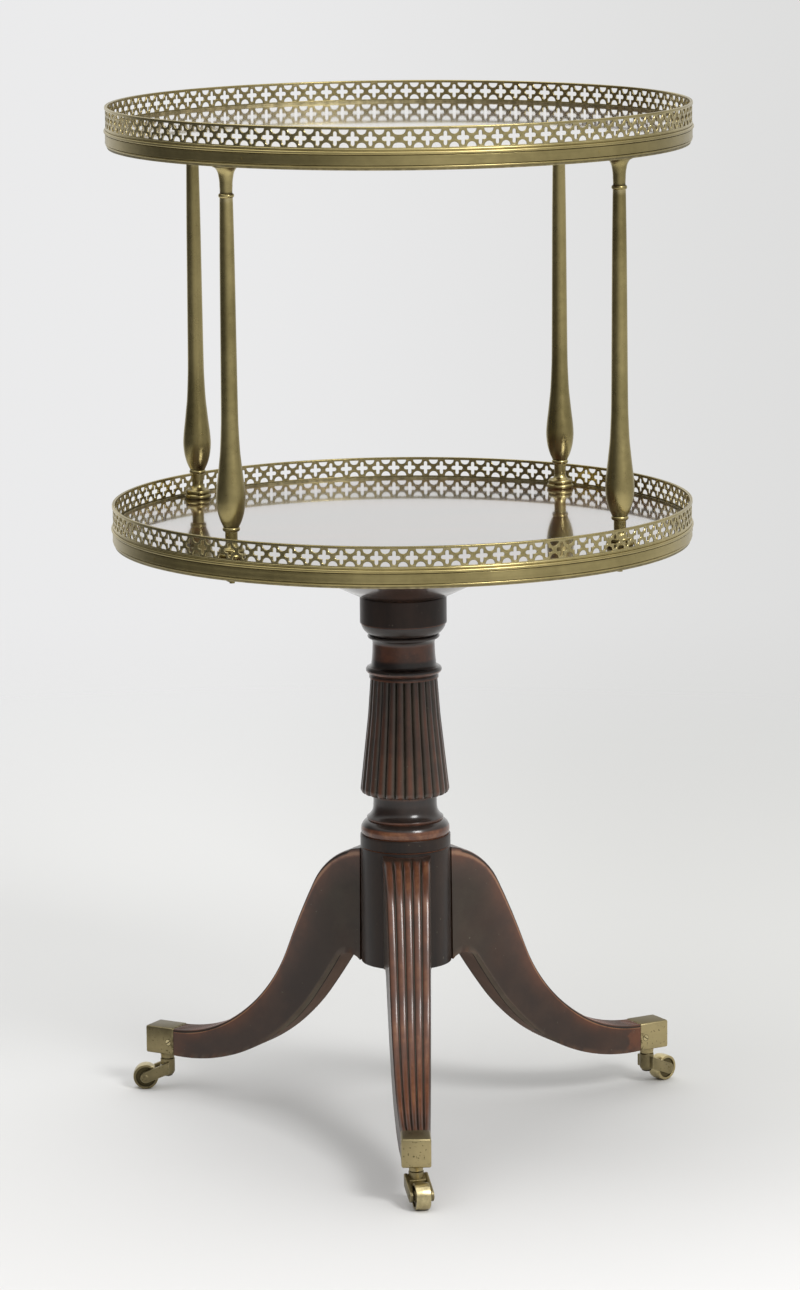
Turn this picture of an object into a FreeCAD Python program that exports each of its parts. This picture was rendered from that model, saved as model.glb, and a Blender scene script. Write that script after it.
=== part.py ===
import FreeCAD, Part
import math
import os

# A two-tier etagere: two round galleried trays on brass columns, carried by a turned
# and reeded pillar on three sabre legs with brass toe caps and swivelling casters.
# Millimetres, +Z up. The origin is on the floor under the pillar's axis and -Y is the front.

# Casters
wheel_radius = 11.2
wheel_width = 12.0
wheel_crown = 0.5
wheel_hub_radius = 4.6
wheel_rim_width = 2.6
wheel_recess = 1.4
axle_radius = 1.6
axle_head_radius = 2.6
axle_head_height = 0.7
barrel_radius = 6.2
barrel_height = 15.0
barrel_round = 1.6
wheel_gap = 1.6
crown_clearance = 4.6
arm_thickness = 3.4
arm_side_gap = 0.5
arm_boss_radius = 4.7
arm_root_top_drop = 2.0
arm_root_foot_lift = 2.4
arm_root_back = 1.6
pintle_radius = 2.7
pintle_head_radius = 4.2
pintle_head_height = 1.3
swivel_gap = 0.3
running_fit = 0.06
caster_rest_deg = {"front": -78.0, "right": 42.0, "left": 180.0}

# Toe caps
pivot_reach = 239.5
cap_inner_length = 13.5
cap_length = 28.0
cap_width = 24.0
cap_height = 24.0
cap_wall = 1.7
cap_round = 1.3
cap_boss_height = 5.7
cap_boss_radius = 7.2
cap_boss_foot_radius = 5.7
cap_screw_radius = 1.3
cap_screw_head_radius = 2.5
cap_screw_head_depth = 1.2
cap_screw_length = 9.0
cap_screw_setback = 5.2
cap_screw_height_share = 0.46

# Legs
leg_azimuth_deg = {"front": -88.6, "right": 29.8, "left": 150.4}
leg_rise = 108.5
leg_shoulder_height = 96.7
leg_block_width = 39.4
leg_cap_inset = 0.3
leg_top_heading_deg = -8.0
leg_foot_heading_deg = 183.4
leg_top_shares = ((0.146, 1.0), (0.354, 0.817), (0.4735, 0.488), (0.739, 0.0916), (1.0, 0.0))
leg_foot_shares = ((1.0, 0.0), (0.920, 0.0), (0.662, 0.135), (0.362, 0.650), (0.2560, 0.978), (0.150, 1.0))
leg_reed_count = 5
reed_groove_floor = 0.9
reed_flank = 1.75
reed_depth = 1.9
reed_bulge_share = 0.17
reed_lift_share = 0.12
reed_shift_share = 0.15
reed_ledge = 4.2
tongue_depth = 15.5
tongue_mouth_width = 14.0
tongue_inner_width = 20.0
tongue_height = 84.0
tongue_bite = 3.0
joint_gap = 0.12

# Tie plate under the leg block
plate_thickness = 2.5
plate_hub_radius = 13.0
plate_arm_width = 12.0
plate_arm_reach = 34.0
plate_inner_screw_reach = 11.0
plate_outer_screw_reach = 28.5
plate_screw_length = 16.0
wood_screw_radius = 1.7
wood_screw_head_radius = 3.4
wood_screw_head_depth = 1.7
screw_fit = 0.05

# Pillar
block_radius = 37.8
block_height = 109.5
block_scribe_drop = 10.2
block_scribe_depth = 0.6
torus_radius = 37.2
torus_height = 12.5
torus_foot_inset = 1.0
torus_top_inset = 5.6
torus_widest_share = 0.36
torus_bulge_shares = (0.06, 0.15)
flare_radius = 31.9
flare_tuck = 0.6
waist_radius = 26.8
scotia_height = 22.2
scotia_shares = (0.063, 0.108, 0.459)
flare_hollow_share = -0.11
vase_height = 98.3
vase_radius = 37.3
vase_reed_count = 26
vase_reed_depth = 2.1
vase_core_share = 0.6
vase_foot_shares = ((0.0, 0.880), (0.006, 0.950), (0.015, 0.983), (0.032, 1.0))
vase_taper_shares = ((0.676, 0.812), (1.0, 0.748))
collar_radius = 31.7
collar_height = 12.0
collar_tuck = 2.3
collar_fillet_inset = 2.7
collar_shares = (0.19, 0.35, 0.80)
collar_hollow_share = -0.12
neck_foot_radius = 27.1
neck_radius = 26.0
neck_height = 21.5
neck_share = 0.75
neck_hollow_share = -0.015
cove_radius = 27.9
cove_hollow_share = -0.13
bead_radius = 30.1
bead_height = 3.5
bead_tuck = 1.5
cornice_height = 13.0
cornice_bulge_share = 0.12
cornice_step = 0.8
drum_radius = 36.2
drum_height = 22.5
tenon_radius = 17.0
tenon_height = 34.0

# Dome under the lower tier
dome_height = 46.7
dome_radius = 100.0
dome_edge_height = 10.0
dome_foot_margin = 0.4
dome_bulge_share = 0.03
dome_screw_circle = 80.0
dome_screw_count = 6
dome_screw_length = 24.0
dome_screw_seat = 14.0

# Tiers
rim_radius = 241.3
rim_wall = 3.7
rim_fit = 0.1
fascia_inset = 1.0
rim_groove_depth = 1.5
rim_groove_height = 0.5
rim_foot_bevel_height = 2.1
rim_foot_bevel_inset = 1.8
rim_foot_bead_height = 1.5
rim_foot_bead_swell = 0.5
fascia_height = 7.7
fascia_hollow_share = -0.02
top_bead_height = 2.7
top_bead_swell = 0.9
ledge_bead_height = 2.0
ledge_bead_swell = 0.4
lip_width = 2.4
lip_thickness = 2.8
board_drop = 1.4
rim_pin_radius = 1.1
rim_pin_length = 10.0
rim_pin_proud = 0.1
rim_pin_count = 5
upper_pin_azimuth_deg = -121.0
lower_pin_azimuth_deg = -74.5

# Pierced gallery
gallery_inset = 1.5
gallery_thickness = 1.2
gallery_length_count = 12
gallery_motifs_per_length = 9
gallery_start_deg = -90.0
gallery_foot_height = 0.8
gallery_pierced_height = 14.0
gallery_rail_height = 2.2
gallery_rail_overhang = 0.6
cross_height = 11.2
cross_width = 10.0
cross_upright_width = 2.9
cross_bar_width = 3.3
half_round_radius = 3.9

# Columns
column_inset = 19.8
column_azimuth_deg = {"front_right": -38.0, "back_right": 52.0, "back_left": 142.0, "front_left": 232.0}
column_base_height = 21.2
column_base_radius = 11.4
column_base_step = 1.0
column_base_ring_height = 3.8
column_base_ring_swell = 0.9
column_neck_radius = 5.0
column_neck_hollow_share = -0.16
column_shaft_height = 265.8
column_collar_radius = 7.0
column_collar_height = 3.7
column_collar_swell = 1.2
column_bulb_radius = 11.8
column_shaft_shares = (
    (0.033, 0.737), (0.0557, 0.890), (0.078, 0.970), (0.1016, 1.0), (0.1347, 0.949), (0.172, 0.847),
    (0.210, 0.754), (0.2438, 0.678), (0.304, 0.610), (0.364, 0.576), (0.567, 0.542), (0.767, 0.513),
    (0.88, 0.487), (1.0, 0.449),
)
column_shaft_foot_share = 0.542
column_cap_height = 25.9
column_cap_radius = 10.6
column_cap_edge_height = 1.6
column_cap_flare_share = 0.45
column_cap_bulge_share = -0.11
column_cap_step = 0.9
column_cap_ring_radius = 6.3
column_cap_ring_height = 3.4
column_cap_ring_swell = 1.0
stud_radius = 2.2
stud_fit = 0.05
stud_grip = 13.0
top_stud_depth = 10.0
stud_tail = 5.1
washer_radius = 6.0
washer_thickness = 0.8
nut_across_flats = 8.0
nut_height = 2.7

# How far a cutting tool runs past the piece it cuts
overrun = 2.0

# Levels and places worked out from the sizes above
origin = FreeCAD.Vector(0, 0, 0)
up = FreeCAD.Vector(0, 0, 1)
right = FreeCAD.Vector(1, 0, 0)
quarter_bulge_share = (math.sqrt(2) - 1) / 2
fork_top_z = 2 * wheel_radius + crown_clearance
barrel_foot_z = fork_top_z - barrel_height
trail = wheel_radius + barrel_radius + wheel_gap
fork_half_width = wheel_width / 2 + arm_side_gap + arm_thickness
cap_foot_z = fork_top_z + swivel_gap + cap_boss_height
cap_top_z = cap_foot_z + cap_height
cap_inner_x = pivot_reach - cap_inner_length
cap_outer_x = cap_inner_x + cap_length
leg_toe_width = cap_width - 2 * leg_cap_inset
leg_toe_foot_z = cap_foot_z + leg_cap_inset
leg_toe_top_z = cap_top_z - leg_cap_inset
block_foot_z = leg_toe_foot_z + leg_rise
leg_top_z = block_foot_z + leg_shoulder_height
leg_taper = (leg_block_width - leg_toe_width) / (cap_inner_x - block_radius)
leg_apex_x = cap_inner_x + leg_toe_width / leg_taper
tongue_inner_x = block_radius - tongue_depth
plate_foot_z = block_foot_z - plate_thickness
block_top_z = block_foot_z + block_height
torus_top_z = block_top_z + torus_height
vase_foot_z = torus_top_z + scotia_height
vase_top_z = vase_foot_z + vase_height
collar_top_z = vase_top_z + collar_height
neck_top_z = collar_top_z + neck_height
cornice_top_z = neck_top_z + cornice_height
dome_foot_z = cornice_top_z + drum_height
lower_tier_z = dome_foot_z + dome_height
fascia_radius = rim_radius - fascia_inset
board_radius = rim_radius - rim_wall
fascia_foot = rim_foot_bevel_height + rim_foot_bead_height + rim_groove_height
fascia_top = fascia_foot + fascia_height
rim_height = fascia_top + rim_groove_height + top_bead_height + ledge_bead_height
board_thickness = rim_height - board_drop
column_circle = rim_radius - column_inset
column_height = column_base_height + column_shaft_height + column_cap_height
column_foot_z = lower_tier_z + board_thickness
shaft_foot_z = column_foot_z + column_base_height
column_cap_z = shaft_foot_z + column_shaft_height
upper_tier_z = column_foot_z + column_height
gallery_radius = rim_radius - gallery_inset
lip_radius = gallery_radius - gallery_thickness - lip_width
motif_deg = 360 / (gallery_length_count * gallery_motifs_per_length)


def runs(corners):
    """Edges in the XZ plane. Each corner is (x, z, bulge share): the run that ends at the corner
    bows to the right of its travel by that share of its own length, and 0 is a straight run."""
    edges = []
    for (x0, z0, _), (x1, z1, bulge) in zip(corners, corners[1:]):
        start = FreeCAD.Vector(x0, 0, z0)
        end = FreeCAD.Vector(x1, 0, z1)
        if bulge == 0:
            edges.append(Part.LineSegment(start, end).toShape())
        else:
            middle = (start + end) / 2 + FreeCAD.Vector(z1 - z0, 0, x0 - x1) * bulge
            edges.append(Part.Arc(start, middle, end).toShape())
    return edges


def section(corners):
    return Part.Face(Part.Wire(runs(corners + corners[:1])))


def turned(corners, sweep_deg=360):
    """Solid of revolution about Z from (radius, height, bulge share) corners."""
    return section(corners).revolve(origin, up, sweep_deg)


def cap_bulge(height, radius):
    """Bulge share of the run from the axis to the edge of a spherical cap."""
    return math.tan(math.atan2(height, radius) / 2) / 2


def raised(corners, lift):
    return [(x, z + lift, bulge) for x, z, bulge in corners]


def rod(radius, foot_z, top_z, x=0, y=0):
    return Part.makeCylinder(radius, top_z - foot_z, FreeCAD.Vector(x, y, foot_z))


def box(x0, x1, y0, y1, z0, z1):
    return Part.makeBox(x1 - x0, y1 - y0, z1 - z0, FreeCAD.Vector(x0, y0, z0))


def prism(plan, foot_z, top_z):
    """Upright solid over a plan outline of (x, y) points."""
    points = [FreeCAD.Vector(x, y, foot_z) for x, y in plan]
    return Part.Face(Part.makePolygon(points + points[:1])).extrude(up * (top_z - foot_z))


def moved(shape, x, y, z):
    copy = shape.copy()
    copy.translate(FreeCAD.Vector(x, y, z))
    return copy


def spun(shape, degrees):
    """Copy turned about the Z axis."""
    copy = shape.copy()
    copy.rotate(origin, up, degrees)
    return copy


def ring_of(shape, count, start_deg=0):
    return [spun(shape, start_deg + index * 360 / count) for index in range(count)]


def at_columns(shape):
    """One copy of a shape made on the Z axis for each column."""
    stood = moved(shape, column_circle, 0, 0)
    return [spun(stood, degrees) for degrees in column_azimuth_deg.values()]


def smooth_run(points, heading_deg):
    """Corners of tangent arcs through points that set out at a heading, and the last heading."""
    corners = [points[0] + (0,)]
    heading = math.radians(heading_deg)
    for (x0, z0), (x1, z1) in zip(points, points[1:]):
        chord = math.atan2(z1 - z0, x1 - x0)
        turn = math.remainder(chord - heading, 2 * math.pi)
        corners.append((x1, z1, math.tan(turn / 2) / 2))
        heading = chord + turn
    return corners, heading


def save(name, shapes):
    """Writes one named piece; several solids of one kind go in as a group."""
    shape = shapes[0] if len(shapes) == 1 else Part.makeCompound(shapes)
    shape.exportStep(os.path.join("parts", name + ".step"))


# Countersunk wood screws, made pointing up with the head's face at z = 0
def wood_screw(length):
    return turned([
        (0, 0, 0),
        (wood_screw_head_radius, 0, 0),
        (wood_screw_radius, wood_screw_head_depth, 0),
        (wood_screw_radius, length - wood_screw_radius, 0),
        (0, length, 0),
    ])


def wood_screw_hole(length, relief):
    """Room for that screw, a fit wider all round, with a relief below its head."""
    head = wood_screw_head_radius + screw_fit
    shank = wood_screw_radius + screw_fit
    return turned([
        (0, -relief, 0),
        (head, -relief, 0),
        (head, 0, 0),
        (shank, wood_screw_head_depth, 0),
        (shank, length - wood_screw_radius, 0),
        (0, length + screw_fit, 0),
    ])


# Casters, made with the pivot on the Z axis and the trail along +X
def on_axle(shape):
    """Lays a shape made about Z on the wheel's axis, which runs along Y."""
    copy = shape.copy()
    copy.rotate(origin, right, 90)
    return moved(copy, trail, 0, wheel_radius)


def caster_wheel():
    half = wheel_width / 2
    bore = axle_radius + running_fit
    rim = wheel_radius - wheel_rim_width
    edge = wheel_radius - wheel_crown
    floor = half - wheel_recess
    return on_axle(turned([
        (bore, -half, 0),
        (wheel_hub_radius, -half, 0),
        (wheel_hub_radius, -floor, 0),
        (rim, -floor, 0),
        (rim, -half, 0),
        (edge, -half, 0),
        (edge, half, wheel_crown / wheel_width),
        (rim, half, 0),
        (rim, floor, 0),
        (wheel_hub_radius, floor, 0),
        (wheel_hub_radius, half, 0),
        (bore, half, 0),
    ]))


def caster_axle():
    head = fork_half_width + axle_head_height
    dome_bulge = cap_bulge(axle_head_height, axle_head_radius)
    return on_axle(turned([
        (0, -head, 0),
        (axle_head_radius, -fork_half_width, dome_bulge),
        (axle_radius, -fork_half_width, 0),
        (axle_radius, fork_half_width, 0),
        (axle_head_radius, fork_half_width, 0),
        (0, head, dome_bulge),
    ]))


def caster_fork():
    barrel = turned([
        (0, barrel_foot_z, 0),
        (barrel_radius - barrel_round, barrel_foot_z, 0),
        (barrel_radius, barrel_foot_z + barrel_round, quarter_bulge_share),
        (barrel_radius, fork_top_z, 0),
        (0, fork_top_z, 0),
    ])
    root_foot = barrel_foot_z + arm_root_foot_lift
    root_top = fork_top_z - arm_root_top_drop
    slope = math.atan2((root_foot + root_top) / 2 - wheel_radius, trail)
    across_x = arm_boss_radius * math.sin(slope)
    across_z = arm_boss_radius * math.cos(slope)
    arm_side = section([
        (-arm_root_back, root_foot, 0),
        (trail - across_x, wheel_radius - across_z, 0),
        (trail + across_x, wheel_radius + across_z, 1 / 2),
        (-arm_root_back, root_top, 0),
    ])
    inner_y = wheel_width / 2 + arm_side_gap
    thick = FreeCAD.Vector(0, arm_thickness, 0)
    arms = [moved(arm_side, 0, side, 0).extrude(thick) for side in (inner_y, -fork_half_width)]
    wide = FreeCAD.Vector(0, 2 * fork_half_width, 0)
    shoulder = moved(arm_side, 0, -fork_half_width, 0).extrude(wide)
    shoulder_front = barrel_radius + wheel_gap / 4
    keep = box(-arm_root_back, shoulder_front, -fork_half_width, fork_half_width, 0, fork_top_z)
    fork = barrel.fuse(arms + [shoulder.common(keep)]).removeSplitter()
    bore = rod(pintle_radius + running_fit, barrel_foot_z - overrun, fork_top_z + overrun)
    axle_hole = on_axle(rod(axle_radius, -fork_half_width - overrun, fork_half_width + overrun))
    return fork.cut([bore, axle_hole])


def caster_pintle():
    foot = barrel_foot_z - swivel_gap
    top = cap_foot_z + cap_wall
    return turned([
        (0, foot - pintle_head_height, 0),
        (pintle_head_radius, foot, cap_bulge(pintle_head_height, pintle_head_radius)),
        (pintle_radius, foot, 0),
        (pintle_radius, top, 0),
        (0, top, 0),
    ])


# Toe caps and legs, made along +X
def cap_screw(side):
    """Side screw of a toe cap; side is 1 or -1."""
    screw = turned([
        (0, 0, 0),
        (cap_screw_head_radius, 0, 0),
        (cap_screw_radius, cap_screw_head_depth, 0),
        (cap_screw_radius, cap_screw_length, 0),
        (0, cap_screw_length, 0),
    ])
    screw.rotate(origin, right, 90 * side)
    screw_z = cap_foot_z + cap_height * cap_screw_height_share
    return moved(screw, cap_inner_x + cap_screw_setback, side * cap_width / 2, screw_z)


def toe_cap():
    half = cap_width / 2
    shell = box(cap_inner_x, cap_outer_x, -half, half, cap_foot_z, cap_top_z)
    outer_edges = [edge for edge in shell.Edges if edge.BoundBox.XMax > cap_inner_x + cap_wall]
    shell = shell.makeFillet(cap_round, outer_edges)
    boss_foot_z = cap_foot_z - cap_boss_height
    boss = turned([
        (0, boss_foot_z, 0),
        (cap_boss_foot_radius, boss_foot_z, 0),
        (cap_boss_radius, cap_foot_z, 0),
        (cap_boss_radius, cap_foot_z + cap_wall / 2, 0),
        (0, cap_foot_z + cap_wall / 2, 0),
    ])
    shell = shell.fuse(moved(boss, pivot_reach, 0, 0)).removeSplitter()
    inside = half - cap_wall
    floor_z = cap_foot_z + cap_wall
    end_x = cap_outer_x - cap_wall
    cavity = box(cap_inner_x - overrun, end_x, -inside, inside, floor_z, cap_top_z - cap_wall)
    pintle_hole = rod(pintle_radius, boss_foot_z - overrun, floor_z + overrun, pivot_reach)
    return shell.cut([cavity, pintle_hole, cap_screw(1), cap_screw(-1)])


def toe_tenon():
    """Square end of the leg inside the toe cap."""
    half = cap_width / 2 - cap_wall - joint_gap
    foot = cap_foot_z + cap_wall + joint_gap
    top = cap_top_z - cap_wall - joint_gap
    return box(cap_inner_x - overrun, cap_outer_x - cap_wall - joint_gap, -half, half, foot, top)


def tongue(end_x, foot_z, top_z, extra):
    """Dovetail prism from inside the block out to end_x, grown sideways by extra."""
    def half(x):
        run = (x - tongue_inner_x) / tongue_depth
        return (tongue_inner_width + (tongue_mouth_width - tongue_inner_width) * run) / 2 + extra
    inner_x = tongue_inner_x - extra
    plan = [(inner_x, -half(inner_x)), (end_x, -half(end_x)), (end_x, half(end_x)), (inner_x, half(inner_x))]
    return prism(plan, foot_z, top_z)


def leg_curve(shares, low_z, high_z):
    return [(reach * cap_inner_x, low_z + rise * (high_z - low_z)) for reach, rise in shares]


def reed_tools():
    """Groove tools swept along the leg's top. Their lines meet where the leg's tapering sides meet."""
    points = leg_curve(leg_top_shares, leg_toe_top_z, leg_top_z)
    corners, heading = smooth_run(points, leg_top_heading_deg)
    toe_x, toe_z = points[-1]
    run_out = (toe_x + overrun * math.cos(heading), toe_z + overrun * math.sin(heading), 0)
    path = Part.Wire(runs(corners + [run_out]))
    floor = reed_groove_floor / 2
    wide = floor + reed_flank
    lift = reed_depth * reed_lift_share
    groove = section([
        (-floor, -reed_depth, -reed_bulge_share),
        (floor, -reed_depth, 0),
        (wide, lift, -reed_bulge_share),
        (wide, reed_depth, 0),
        (-wide, reed_depth, 0),
        (-wide, lift, 0),
    ])
    groove.rotate(origin, up, 90)
    groove.rotate(origin, FreeCAD.Vector(0, 1, 0), -leg_top_heading_deg)
    groove = moved(groove, points[0][0], 0, points[0][1])
    tool = path.makePipeShell([groove.OuterWire], True, False)
    stop = rod(block_radius + reed_ledge, 0, leg_top_z + overrun)
    tools = []
    for index in range(leg_reed_count + 1):
        share = index / leg_reed_count - 1 / 2
        copy = tool.copy()
        copy.rotate(FreeCAD.Vector(leg_apex_x, 0, 0), up, -math.degrees(math.atan(share * leg_taper)))
        if abs(share) == 1 / 2:
            shift = 2 * share * (floor + reed_flank * reed_shift_share)
            copy.translate(FreeCAD.Vector(0, shift, 0))
        tools.append(copy.cut(stop))
    return tools


def leg():
    foot_points = leg_curve(leg_foot_shares, leg_toe_foot_z, block_foot_z)
    top_points = leg_curve(leg_top_shares, leg_toe_top_z, leg_top_z)
    foot_corners, _ = smooth_run(foot_points, leg_foot_heading_deg)
    top_corners, _ = smooth_run(top_points, leg_top_heading_deg)
    root_x = tongue_inner_x - tongue_bite
    outline = [(root_x, block_foot_z, 0), (root_x, leg_top_z, 0)] + top_corners + foot_corners
    side = moved(section(outline), 0, -leg_block_width, 0)
    blank = side.extrude(FreeCAD.Vector(0, 2 * leg_block_width, 0))
    half_0 = leg_apex_x * leg_taper / 2
    half_toe = leg_toe_width / 2
    plan = [(0, -half_0), (cap_inner_x, -half_toe), (cap_inner_x, half_toe), (0, half_0)]
    blank = blank.common(prism(plan, 0, leg_top_z + overrun))
    tongue_top_z = block_foot_z + tongue_height
    key = blank.common(tongue(block_radius + tongue_bite, block_foot_z, tongue_top_z, 0))
    body = blank.cut(rod(block_radius + joint_gap, 0, leg_top_z + overrun))
    body = body.cut(reed_tools())
    body = body.fuse([key, toe_tenon()]).removeSplitter()
    plate_hole = moved(wood_screw_hole(plate_screw_length, overrun), plate_outer_screw_reach, 0, plate_foot_z)
    return body.cut([cap_screw(1), cap_screw(-1), plate_hole])


# Tie plate
def plate_screws(shape):
    """Copies of a screw or its hole for both places on every arm."""
    copies = []
    for degrees in leg_azimuth_deg.values():
        for reach in (plate_inner_screw_reach, plate_outer_screw_reach):
            copies.append(spun(moved(shape, reach, 0, plate_foot_z), degrees))
    return copies


def tie_plate():
    half = plate_arm_width / 2
    arm_end = plate_arm_reach - half
    arm = box(0, arm_end, -half, half, plate_foot_z, block_foot_z)
    arm = arm.fuse(rod(half, plate_foot_z, block_foot_z, arm_end))
    arms = [spun(arm, degrees) for degrees in leg_azimuth_deg.values()]
    plate = rod(plate_hub_radius, plate_foot_z, block_foot_z).fuse(arms).removeSplitter()
    return plate.cut(plate_screws(wood_screw_hole(plate_screw_length, overrun)))


# Pillar
def reeded_vase():
    """Ruled loft through rings of convex reeds."""
    step = 2 * math.pi / vase_reed_count
    wires = []
    for height, girth in vase_foot_shares + vase_taper_shares:
        z = vase_foot_z + height * vase_height
        crest = girth * vase_radius
        groove = crest * (1 - vase_reed_depth / vase_radius)
        edges = []
        for index in range(vase_reed_count):
            turns = [(index + part / 2) * step for part in (0, 1, 2)]
            radii = (groove, crest, groove)
            ends = [FreeCAD.Vector(r * math.cos(t), r * math.sin(t), z) for r, t in zip(radii, turns)]
            edges.append(Part.Arc(*ends).toShape())
        wires.append(Part.Wire(edges))
    return Part.makeLoft(wires, True, True)


def pillar():
    scribe_z = block_top_z - block_scribe_drop
    torus_widest_z = block_top_z + torus_widest_share * torus_height
    torus_low_bulge, torus_high_bulge = torus_bulge_shares
    flare_foot_z, flare_top_z, waist_z = [torus_top_z + share * scotia_height for share in scotia_shares]
    core = vase_radius * vase_core_share
    collar_levels = [vase_top_z + share * collar_height for share in collar_shares]
    fillet_top_z, collar_foot_z, collar_head_z = collar_levels
    fillet_radius = collar_radius - collar_fillet_inset
    collar_root = collar_radius - collar_tuck
    bead_root = bead_radius - bead_tuck
    stem = turned([
        (0, block_foot_z, 0),
        (block_radius, block_foot_z, 0),
        (block_radius, scribe_z - block_scribe_depth, 0),
        (block_radius - block_scribe_depth, scribe_z, 0),
        (block_radius, scribe_z + block_scribe_depth, 0),
        (block_radius, block_top_z, 0),
        (torus_radius - torus_foot_inset, block_top_z, 0),
        (torus_radius, torus_widest_z, torus_low_bulge),
        (torus_radius - torus_top_inset, torus_top_z, torus_high_bulge),
        (flare_radius - flare_tuck, torus_top_z, 0),
        (flare_radius, flare_foot_z, 0),
        (flare_radius, flare_top_z, 0),
        (waist_radius, waist_z, flare_hollow_share),
        (waist_radius, vase_foot_z, 0),
        (core, vase_foot_z, 0),
        (core, vase_top_z, 0),
        (fillet_radius, vase_top_z, 0),
        (fillet_radius, fillet_top_z, 0),
        (collar_root, collar_foot_z, 0),
        (collar_root, collar_head_z, collar_tuck / (collar_head_z - collar_foot_z)),
        (neck_foot_radius, collar_top_z, collar_hollow_share),
        (neck_radius, collar_top_z + neck_share * neck_height, neck_hollow_share),
        (cove_radius, neck_top_z, cove_hollow_share),
        (bead_root, neck_top_z, 0),
        (bead_root, neck_top_z + bead_height, bead_tuck / bead_height),
        (drum_radius - cornice_step, cornice_top_z - cornice_step, cornice_bulge_share),
        (drum_radius - cornice_step, cornice_top_z, 0),
        (drum_radius, cornice_top_z, 0),
        (drum_radius, dome_foot_z, 0),
        (tenon_radius, dome_foot_z, 0),
        (tenon_radius, dome_foot_z + tenon_height, 0),
        (0, dome_foot_z + tenon_height, 0),
    ])
    body = stem.fuse(reeded_vase())
    socket_top_z = block_foot_z + tongue_height + joint_gap
    socket = tongue(block_radius + overrun, block_foot_z - overrun, socket_top_z, joint_gap)
    sockets = [spun(socket, degrees) for degrees in leg_azimuth_deg.values()]
    return body.cut(sockets + plate_screws(wood_screw_hole(plate_screw_length, overrun)))


# Dome
def dome_screws(shape):
    seat = moved(shape, dome_screw_circle, 0, lower_tier_z - dome_screw_seat)
    return ring_of(seat, dome_screw_count, leg_azimuth_deg["front"])


def dome_block():
    foot_radius = drum_radius + dome_foot_margin
    socket_radius = tenon_radius + joint_gap
    socket_top_z = dome_foot_z + tenon_height + joint_gap
    body = turned([
        (socket_radius, dome_foot_z, 0),
        (foot_radius, dome_foot_z, 0),
        (dome_radius, lower_tier_z - dome_edge_height, dome_bulge_share),
        (dome_radius, lower_tier_z, 0),
        (0, lower_tier_z, 0),
        (0, socket_top_z, 0),
        (socket_radius, socket_top_z, 0),
    ])
    return body.cut(dome_screws(wood_screw_hole(dome_screw_length, dome_height)))


# Tiers, made with the rim's foot at z = 0
def rim_pins(start_deg):
    foot = fascia_radius - rim_pin_length
    pin = rod(rim_pin_radius, foot, fascia_radius + rim_pin_proud)
    pin.rotate(origin, FreeCAD.Vector(0, 1, 0), 90)
    return ring_of(moved(pin, 0, 0, fascia_foot + fascia_height / 2), rim_pin_count, start_deg)


def rim_band(pin_deg):
    inner = board_radius + rim_fit
    bead_root = fascia_radius - rim_foot_bead_swell * 2
    bead_top = fascia_foot - rim_groove_height
    groove = fascia_radius - rim_groove_depth
    top_bead_root = rim_radius - top_bead_swell
    top_bead_foot = fascia_top + rim_groove_height
    ledge = top_bead_foot + top_bead_height
    ledge_root = rim_radius - gallery_inset
    lip_foot = rim_height - lip_thickness
    band = turned([
        (inner, 0, 0),
        (fascia_radius - rim_foot_bevel_inset, 0, 0),
        (bead_root, rim_foot_bevel_height, 0),
        (bead_root, bead_top, rim_foot_bead_swell / rim_foot_bead_height),
        (groove, bead_top, 0),
        (groove, fascia_foot, 0),
        (fascia_radius, fascia_foot, 0),
        (fascia_radius, fascia_top, fascia_hollow_share),
        (groove, fascia_top, 0),
        (groove, top_bead_foot, 0),
        (top_bead_root, top_bead_foot, 0),
        (top_bead_root, ledge, top_bead_swell / top_bead_height),
        (ledge_root, ledge, 0),
        (ledge_root, rim_height, ledge_bead_swell / ledge_bead_height),
        (lip_radius, rim_height, 0),
        (lip_radius, lip_foot, 0),
        (inner, lip_foot, 0),
    ])
    return band.cut(rim_pins(pin_deg))


def board(pin_deg):
    lip_foot = rim_height - lip_thickness
    top_radius = lip_radius - rim_fit
    body = turned([
        (0, 0, 0),
        (board_radius, 0, 0),
        (board_radius, lip_foot, 0),
        (top_radius, lip_foot, 0),
        (top_radius, board_thickness, 0),
        (0, board_thickness, 0),
    ])
    return body.cut(rim_pins(pin_deg))


def motif_tools():
    """Through tools for one cross and for one pair of half rounds, on the +X side of the ring."""
    reach = cross_width / 2 - cross_bar_width / 2
    rise = cross_height / 2 - cross_upright_width / 2
    bar = cross_bar_width / 2
    post = cross_upright_width / 2
    low_z = rim_height + gallery_foot_height
    high_z = low_z + gallery_pierced_height
    middle_z = (low_z + high_z) / 2
    cross = section(raised([
        (post, -bar, 0),
        (reach, -bar, 0),
        (reach, bar, 1 / 2),
        (post, bar, 0),
        (post, rise, 0),
        (-post, rise, 1 / 2),
        (-post, bar, 0),
        (-reach, bar, 0),
        (-reach, -bar, 1 / 2),
        (-post, -bar, 0),
        (-post, -rise, 0),
        (post, -rise, 1 / 2),
    ], middle_z))
    high_round = section([(-half_round_radius, high_z, -1 / 2), (half_round_radius, high_z, 0)])
    low_round = section([(-half_round_radius, low_z, 1 / 2), (half_round_radius, low_z, 0)])
    start_x = gallery_radius - gallery_thickness - overrun
    through = FreeCAD.Vector(gallery_thickness + 2 * overrun, 0, 0)
    tools = [moved(spun(face, 90), start_x, 0, 0).extrude(through) for face in (cross, high_round, low_round)]
    return tools[0], tools[1:]


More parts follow.
